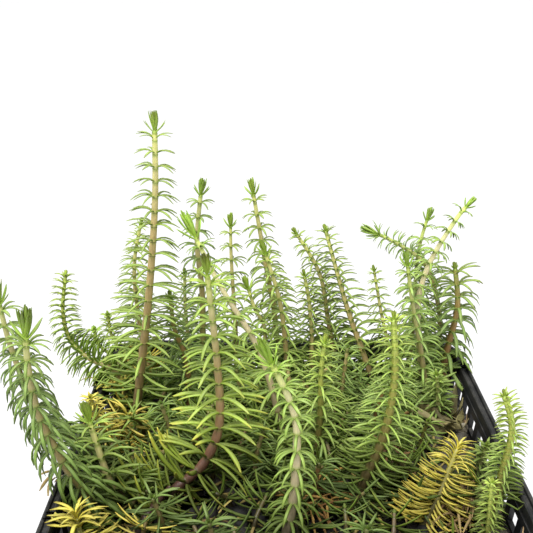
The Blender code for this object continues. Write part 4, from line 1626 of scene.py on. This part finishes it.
class RootRecipe(LeafRecipe):
    """Lays fine roots over the sides of the soil, inside the basket's wall."""

    def __init__(self) -> None:
        """Builds the tree."""
        super().__init__("Roots", {
            "Spacing": float, "Thickness": float, "Seed": int,
            "Root Finish": bpy.types.Material, "Soil Finish": bpy.types.Material,
        })
        seed = self.given["Seed"]
        sockets = {"Mesh": self.given["Base"], 2: self.given["Spacing"], 3: 200000.0, "Seed": seed}
        sockets["Selection"] = self.add("FunctionNodeCompare", {0: self.read("strewn"), 1: 0.5}).outputs[0]
        spots = self.add("GeometryNodeDistributePointsOnFaces", sockets, distribute_method="POISSON")
        spin = self.add("FunctionNodeEulerToRotation", {
            0: self.vector(0.0, 0.0, self.chance(0.0, math.tau, seed))})
        sockets = {"Rotation": spots.outputs["Rotation"], "Rotate By": spin.outputs[0]}
        rotation = self.add("FunctionNodeRotateRotation", sockets, rotation_space="LOCAL").outputs[0]
        length = self.chance(7.0 * MM, 17.0 * MM, self.maths("ADD", seed, 1))
        scale = self.vector(length, self.given["Thickness"], self.maths("MULTIPLY", length, 0.35))
        forms = (LeafForm((0.4, 6.0, 0.14), (1.0, 2.0, -0.1)), LeafForm((0.6, -7.0, 0.12), (1.0, 3.0, -0.12)))
        roots = self.strewn(spots.outputs[0], True, forms, rotation, scale, seed)
        soil = self.store(self.given["Base"], "tint", 0.0)
        self.end(self.join(self.walled(self.dressed(roots, self.given["Root Finish"])),
                           self.dressed(soil, self.given["Soil Finish"])))


@dataclass
class Fill:
    """What fills the basket: soil with roots, and gravel over it."""

    side_cells: int = 26
    corner_steps: int = 6
    soil_rows: int = 26
    roughness: float = 0.8
    clearance: float = 0.4
    insets: tuple[float, ...] = (1.6, 4.0, 7.0, 11.0, 16.0, 22.0, 29.0, 37.0)
    roots_from: int = 5  # rows of the soil's sides that have no roots yet
    grain_finish: RockFinish = RockFinish(
        "gravel", ("3f3e3a", "6d6960", "8f8876", "4c4a46", "a79d86", "77685a", "5d5b55"))

    def block(self, name: str, low: float, high: float, rows: int, rough_sides: bool) -> bpy.types.Mesh:
        """A lump that fills the basket from one height to another.

        Args:
            name: The mesh's name.
            low: The height of its underside.
            high: The height of its top.
            rows: How many rows of faces its sides have.
            rough_sides: Whether its sides are uneven and strewn, in place of its top.

        Returns:
            The lump, with the faces marked on which things are strewn.
        """
        shape = bmesh.new()
        strewn = shape.faces.layers.float.new("strewn")
        stations = [(low + (high - low) * row / rows, 0.0) for row in range(rows + 1)]
        rings = []
        for z, inset in stations + [(high, inset) for inset in self.insets]:
            half = wall_half(z) - WALL - self.clearance - inset
            corner = max(1.0, CORNER - WALL - inset)
            places = outline(half, corner, self.side_cells, self.corner_steps)
            rings.append([shape.verts.new((x, y, z)) for x, y in places])
        for number, (lower, upper) in enumerate(zip(rings, rings[1:])):
            for k, vert in enumerate(lower):
                after = (k + 1) % len(lower)
                face = shape.faces.new((vert, lower[after], upper[after], upper[k]))
                face[strewn] = float(self.roots_from <= number < rows if rough_sides else number > rows)
        shape.faces.new(rings[0][::-1])
        shape.faces.new(rings[-1])[strewn] = float(not rough_sides)
        for number, ring in enumerate(rings):
            for vert in ring:
                bite = self.roughness * (0.5 + 0.5 * noise.noise(vert.co * 0.35))
                if rough_sides and number <= rows:
                    vert.co += Vector((-vert.co.x, -vert.co.y, 0.0)).normalized() * bite
                if number > rows:
                    vert.co.z -= bite
        shape.transform(Matrix.Scale(MM, 4))
        mesh = bpy.data.meshes.new(name)
        shape.to_mesh(mesh)
        shape.free()
        return mesh

    def build(self) -> list[bpy.types.Object]:
        """Makes the soil and the gravel in place of their nodes.

        Returns:
            The soil and the gravel.
        """
        soil = RootRecipe().run(
            "soil_and_roots", self.block("soil", 2.3, SOIL_TOP - GAP, self.soil_rows, True), {
            "Spacing": 4.6 * MM, "Thickness": 0.55 * MM, "Seed": 4,
            "Root Finish": DeadFinish("roots", ("b59c74", "8f744f", "cdbb98", "6f573d")).build(),
            "Soil Finish": EarthFinish().build(),
        })
        gravel = GrainRecipe().run("gravel_grains", self.block("bed", SOIL_TOP, GRAVEL_TOP, 4, False), {
            "Spacing": 3.5 * MM, "Smallest": 1.6 * MM, "Largest": 3.1 * MM, "Seed": 11,
            "Grain Finish": self.grain_finish.build(),
            "Bed Finish": EarthFinish("gravel_bed", "1d1610", "463828").build(),
        })
        for item, node in ((soil, "soil"), (gravel, "gravel")):
            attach(item, "root")
            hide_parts(node)
        return [soil, gravel]


@dataclass
class Pebbles:
    """The bigger stones that lie on the gravel."""

    colours: tuple[tuple[str, str], ...] = (
        ("c2ad84", "a08a62"), ("8a8a82", "6a6a64"), ("85857c", "9a9a90"), ("b8b09a", "978d76"),
        ("b08e7c", "8a6a5c"), ("bcae8e", "9c8b68"), ("b89a70", "94784e"),
    )
    broad: float = 0.3
    fine: float = 0.09

    def build(self) -> list[bpy.types.Object]:
        """Makes each stone in place of its node, and as big as it.

        Returns:
            The stones.
        """
        made = []
        for number, colours in enumerate(self.colours, 1):
            item = new_object(f"pebble_{number:02d}", self.pebble_mesh(number))
            item.data.materials.append(RockFinish(f"pebble_{number:02d}", colours).build())
            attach(item, "root")
            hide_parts(f"stone_{number:02d}")
            made.append(item)
        return made

    def pebble_mesh(self, number: int) -> bpy.types.Mesh:
        """A worn stone that fills its node's box.

        Args:
            number: The stone's number.

        Returns:
            The stone's mesh.
        """
        low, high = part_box(f"stone_{number:02d}")
        shape = bmesh.new()
        bmesh.ops.create_icosphere(shape, subdivisions=5, radius=1.0)
        offset = Vector((4.1 * number, 1.7, 0.0))
        for vert in shape.verts:
            broad = noise.noise(vert.co * 1.2 + offset)
            fine = noise.noise(vert.co * 3.6 + offset) + 0.4 * noise.noise(vert.co * 9.0 + offset)
            vert.co *= 1.0 + self.broad * broad + self.fine * fine
        places = np.array([vert.co for vert in shape.verts])
        least, most = Vector(places.min(axis=0)), Vector(places.max(axis=0))
        for vert in shape.verts:
            for axis in range(3):
                share = (vert.co[axis] - least[axis]) / (most[axis] - least[axis])
                vert.co[axis] = low[axis] + share * (high[axis] - low[axis])
        tint = shape.verts.layers.float.new("tint")
        for vert in shape.verts:
            vert[tint] = 0.5 + 0.9 * noise.noise(vert.co / MM * 0.5 + offset)
        mesh = bpy.data.meshes.new(f"pebble_{number:02d}")
        shape.to_mesh(mesh)
        shape.free()
        mesh.shade_smooth()
        return mesh


class LitterRecipe(LeafRecipe):
    """Drops dead leaves on patches."""

    def __init__(self, name: str, forms: tuple[LeafForm, ...]) -> None:
        """Builds the tree for leaves of some forms.

        Args:
            name: The tree's name.
            forms: The forms that the leaves have.
        """
        super().__init__(name, {
            "Spacing": float, "Leaf Length": float, "Leaf Width": float, "Seed": int,
            "Finish": bpy.types.Material,
        })
        seed = self.given["Seed"]
        sockets = {"Mesh": self.given["Base"], 2: self.given["Spacing"], 3: 900000.0, "Seed": seed}
        spots = self.add("GeometryNodeDistributePointsOnFaces", sockets,
                         distribute_method="POISSON").outputs[0]
        turn = self.add("FunctionNodeRandomValue", {
            0: (-0.5, -0.4, 0.0), 1: (0.5, 0.35, math.tau), "Seed": seed},
                        data_type="FLOAT_VECTOR").outputs[0]
        turn = self.add("FunctionNodeEulerToRotation", {0: turn}).outputs[0]
        length = self.maths("MULTIPLY", self.given["Leaf Length"], self.chance(0.6, 1.1, seed))
        scale = self.vector(length, self.given["Leaf Width"], length)
        leaves = self.strewn(self.rooted(spots), True, forms, turn, scale, seed)
        self.end(self.settled(self.dressed(leaves, self.given["Finish"])))


@dataclass(frozen=True)
class Patch:
    """A round patch of fallen leaves: where it is, how its leaves lie, their size and their browns."""

    name: str
    middle: Place
    radius: float
    spacing: float
    colours: tuple[str, ...]
    leaf_length: float = 7.0
    leaf_width: float = 0.8
    curled: bool = False


@dataclass
class Litter:
    """Dead leaves that lie on the gravel and caught at the rim."""

    patches: tuple[Patch, ...] = (
        Patch("dry_leaves_left", (-53.6, -17.5, 111.3), 2.6, 0.9,
              ("a08a50", "b8a468", "7a6236", "ccb880"), 6.0),
        Patch("dry_leaves_front", (7.0, -18.0, 104.5), 5.0, 0.9,
              ("8b6a2e", "a5823c", "6b4420", "b9944a"), 9.0, 0.7),
        Patch("dry_leaves_middle", (27.0, 0.0, 106.0), 4.5, 1.1,
              ("6e5230", "8a6a3c", "5c4426", "a08850"), 7.0, 0.7),
        Patch("dry_leaves_corner", (40.5, -19.0, 104.0), 6.0, 1.2,
              ("745a34", "8c7040", "5c4628", "a08a58"), 8.0, 0.7),
        Patch("dry_leaves_spread", (0.0, 0.0, 101.8), 47.0, 4.0,
              ("9a8b4a", "7d6a3a", "b5a657", "6b5230")),
        Patch("wilted_leaves_right", (45.5, 16.5, 104.0), 4.5, 1.7,
              ("6e6a3c", "847a4c", "585230", "948a5c"), 9.0, 1.2,
              True),
        Patch("dry_leaves_back", (-48.5, 31.0, 110.0), 6.5, 1.2,
              ("b4b448", "c8b44c", "a8b048", "dcb854"), 7.0, 0.7),
    )

    def build(self) -> list[bpy.types.Object]:
        """Drops the leaves of each patch.

        Returns:
            One piece for each patch.
        """
        straight = LitterRecipe("DryLeaves", FORMS[Bend.ARCHED] + FORMS[Bend.LONG])
        curled = LitterRecipe("WiltedLeaves", CURLED)
        made = []
        for number, patch in enumerate(self.patches, 1):
            shape = bmesh.new()
            middle = Matrix.Translation(Vector(patch.middle) * MM)
            bmesh.ops.create_circle(shape, cap_ends=True, segments=24, radius=patch.radius * MM,
                                    matrix=middle)
            mesh = bpy.data.meshes.new(patch.name)
            shape.to_mesh(mesh)
            shape.free()
            item = (curled if patch.curled else straight).run(patch.name, mesh, {
                "Spacing": patch.spacing * MM, "Leaf Length": patch.leaf_length * MM,
                "Leaf Width": patch.leaf_width * MM, "Seed": 20 + number,
                "Finish": DeadFinish(patch.name, patch.colours).build(),
            })
            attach(item, "root")
            made.append(item)
        return made


@dataclass
class Studio:
    """The white floor, the soft light and the camera at the picture's angle."""

    floor_half: float = 8.0  # metres
    eye: Place = (-0.0056, -0.17474, 0.22456)
    downward: float = 21.287
    lens: float = 54.0
    sky: float = 0.5
    key_power: float = 15.0
    key_size: float = 0.7
    key_place: Place = (-0.2, -0.25, 1.0)
    aim: Place = (0.0, 0.0, 0.12)

    def build(self) -> None:
        """Sets up everything that isn't part of the object."""
        scene = bpy.context.scene
        scene.view_settings.view_transform = "Standard"
        self.floor()
        self.sky_light()
        self.key_light()
        self.camera()

    def floor(self) -> None:
        """A wide plain floor just under the basket."""
        shape = bmesh.new()
        bmesh.ops.create_grid(shape, x_segments=1, y_segments=1, size=self.floor_half)
        shape.transform(Matrix.Translation((0.0, 0.0, -0.0002)))
        mesh = bpy.data.meshes.new("floor")
        shape.to_mesh(mesh)
        shape.free()
        mesh.materials.append(FloorFinish().build())
        new_object("floor", mesh)

    def sky_light(self) -> None:
        """Even white light from all round."""
        world = bpy.data.worlds.new("studio")
        world.use_nodes = True
        backdrop = world.node_tree.nodes["Background"]
        backdrop.inputs["Color"].default_value = shade("ffffff")
        backdrop.inputs["Strength"].default_value = self.sky
        bpy.context.scene.world = world

    def key_light(self) -> None:
        """A large soft light above and in front."""
        lamp = bpy.data.lights.new("key", "AREA")
        lamp.energy = self.key_power
        lamp.size = self.key_size
        item = bpy.data.objects.new("key", lamp)
        bpy.context.scene.collection.objects.link(item)
        item.location = self.key_place
        item.rotation_euler = (Vector(self.aim) - item.location).to_track_quat("-Z", "Y").to_euler()

    def camera(self) -> None:
        """The camera, close in front and looking down on the clump."""
        lens = bpy.data.cameras.new("camera")
        lens.lens = self.lens
        lens.sensor_width = 36.0
        lens.clip_start = 0.01
        item = bpy.data.objects.new("camera", lens)
        bpy.context.scene.collection.objects.link(item)
        item.location = self.eye
        item.rotation_euler = (math.radians(90.0 - self.downward), 0.0, 0.0)
        bpy.context.scene.camera = item


def main() -> None:
    """Builds the object's looks and reports each piece."""
    logging.basicConfig(level=logging.INFO, format="%(message)s", stream=sys.stdout)
    Studio().build()
    grower = Grower()
    pieces = [Basket().build(), *Fill().build(), *Pebbles().build(), *Litter().build(),
              *Clump(grower).build(), *Undergrowth(grower).build()]
    for piece in pieces:
        triangles = sum(len(face.vertices) - 2 for face in piece.data.polygons)
        LOG.info("%s: %d triangles", piece.name, triangles)
    LOG.info("all: %d triangles", sum(len(f.vertices) - 2 for piece in pieces for f in piece.data.polygons))


if __name__ == "__main__":
    main()
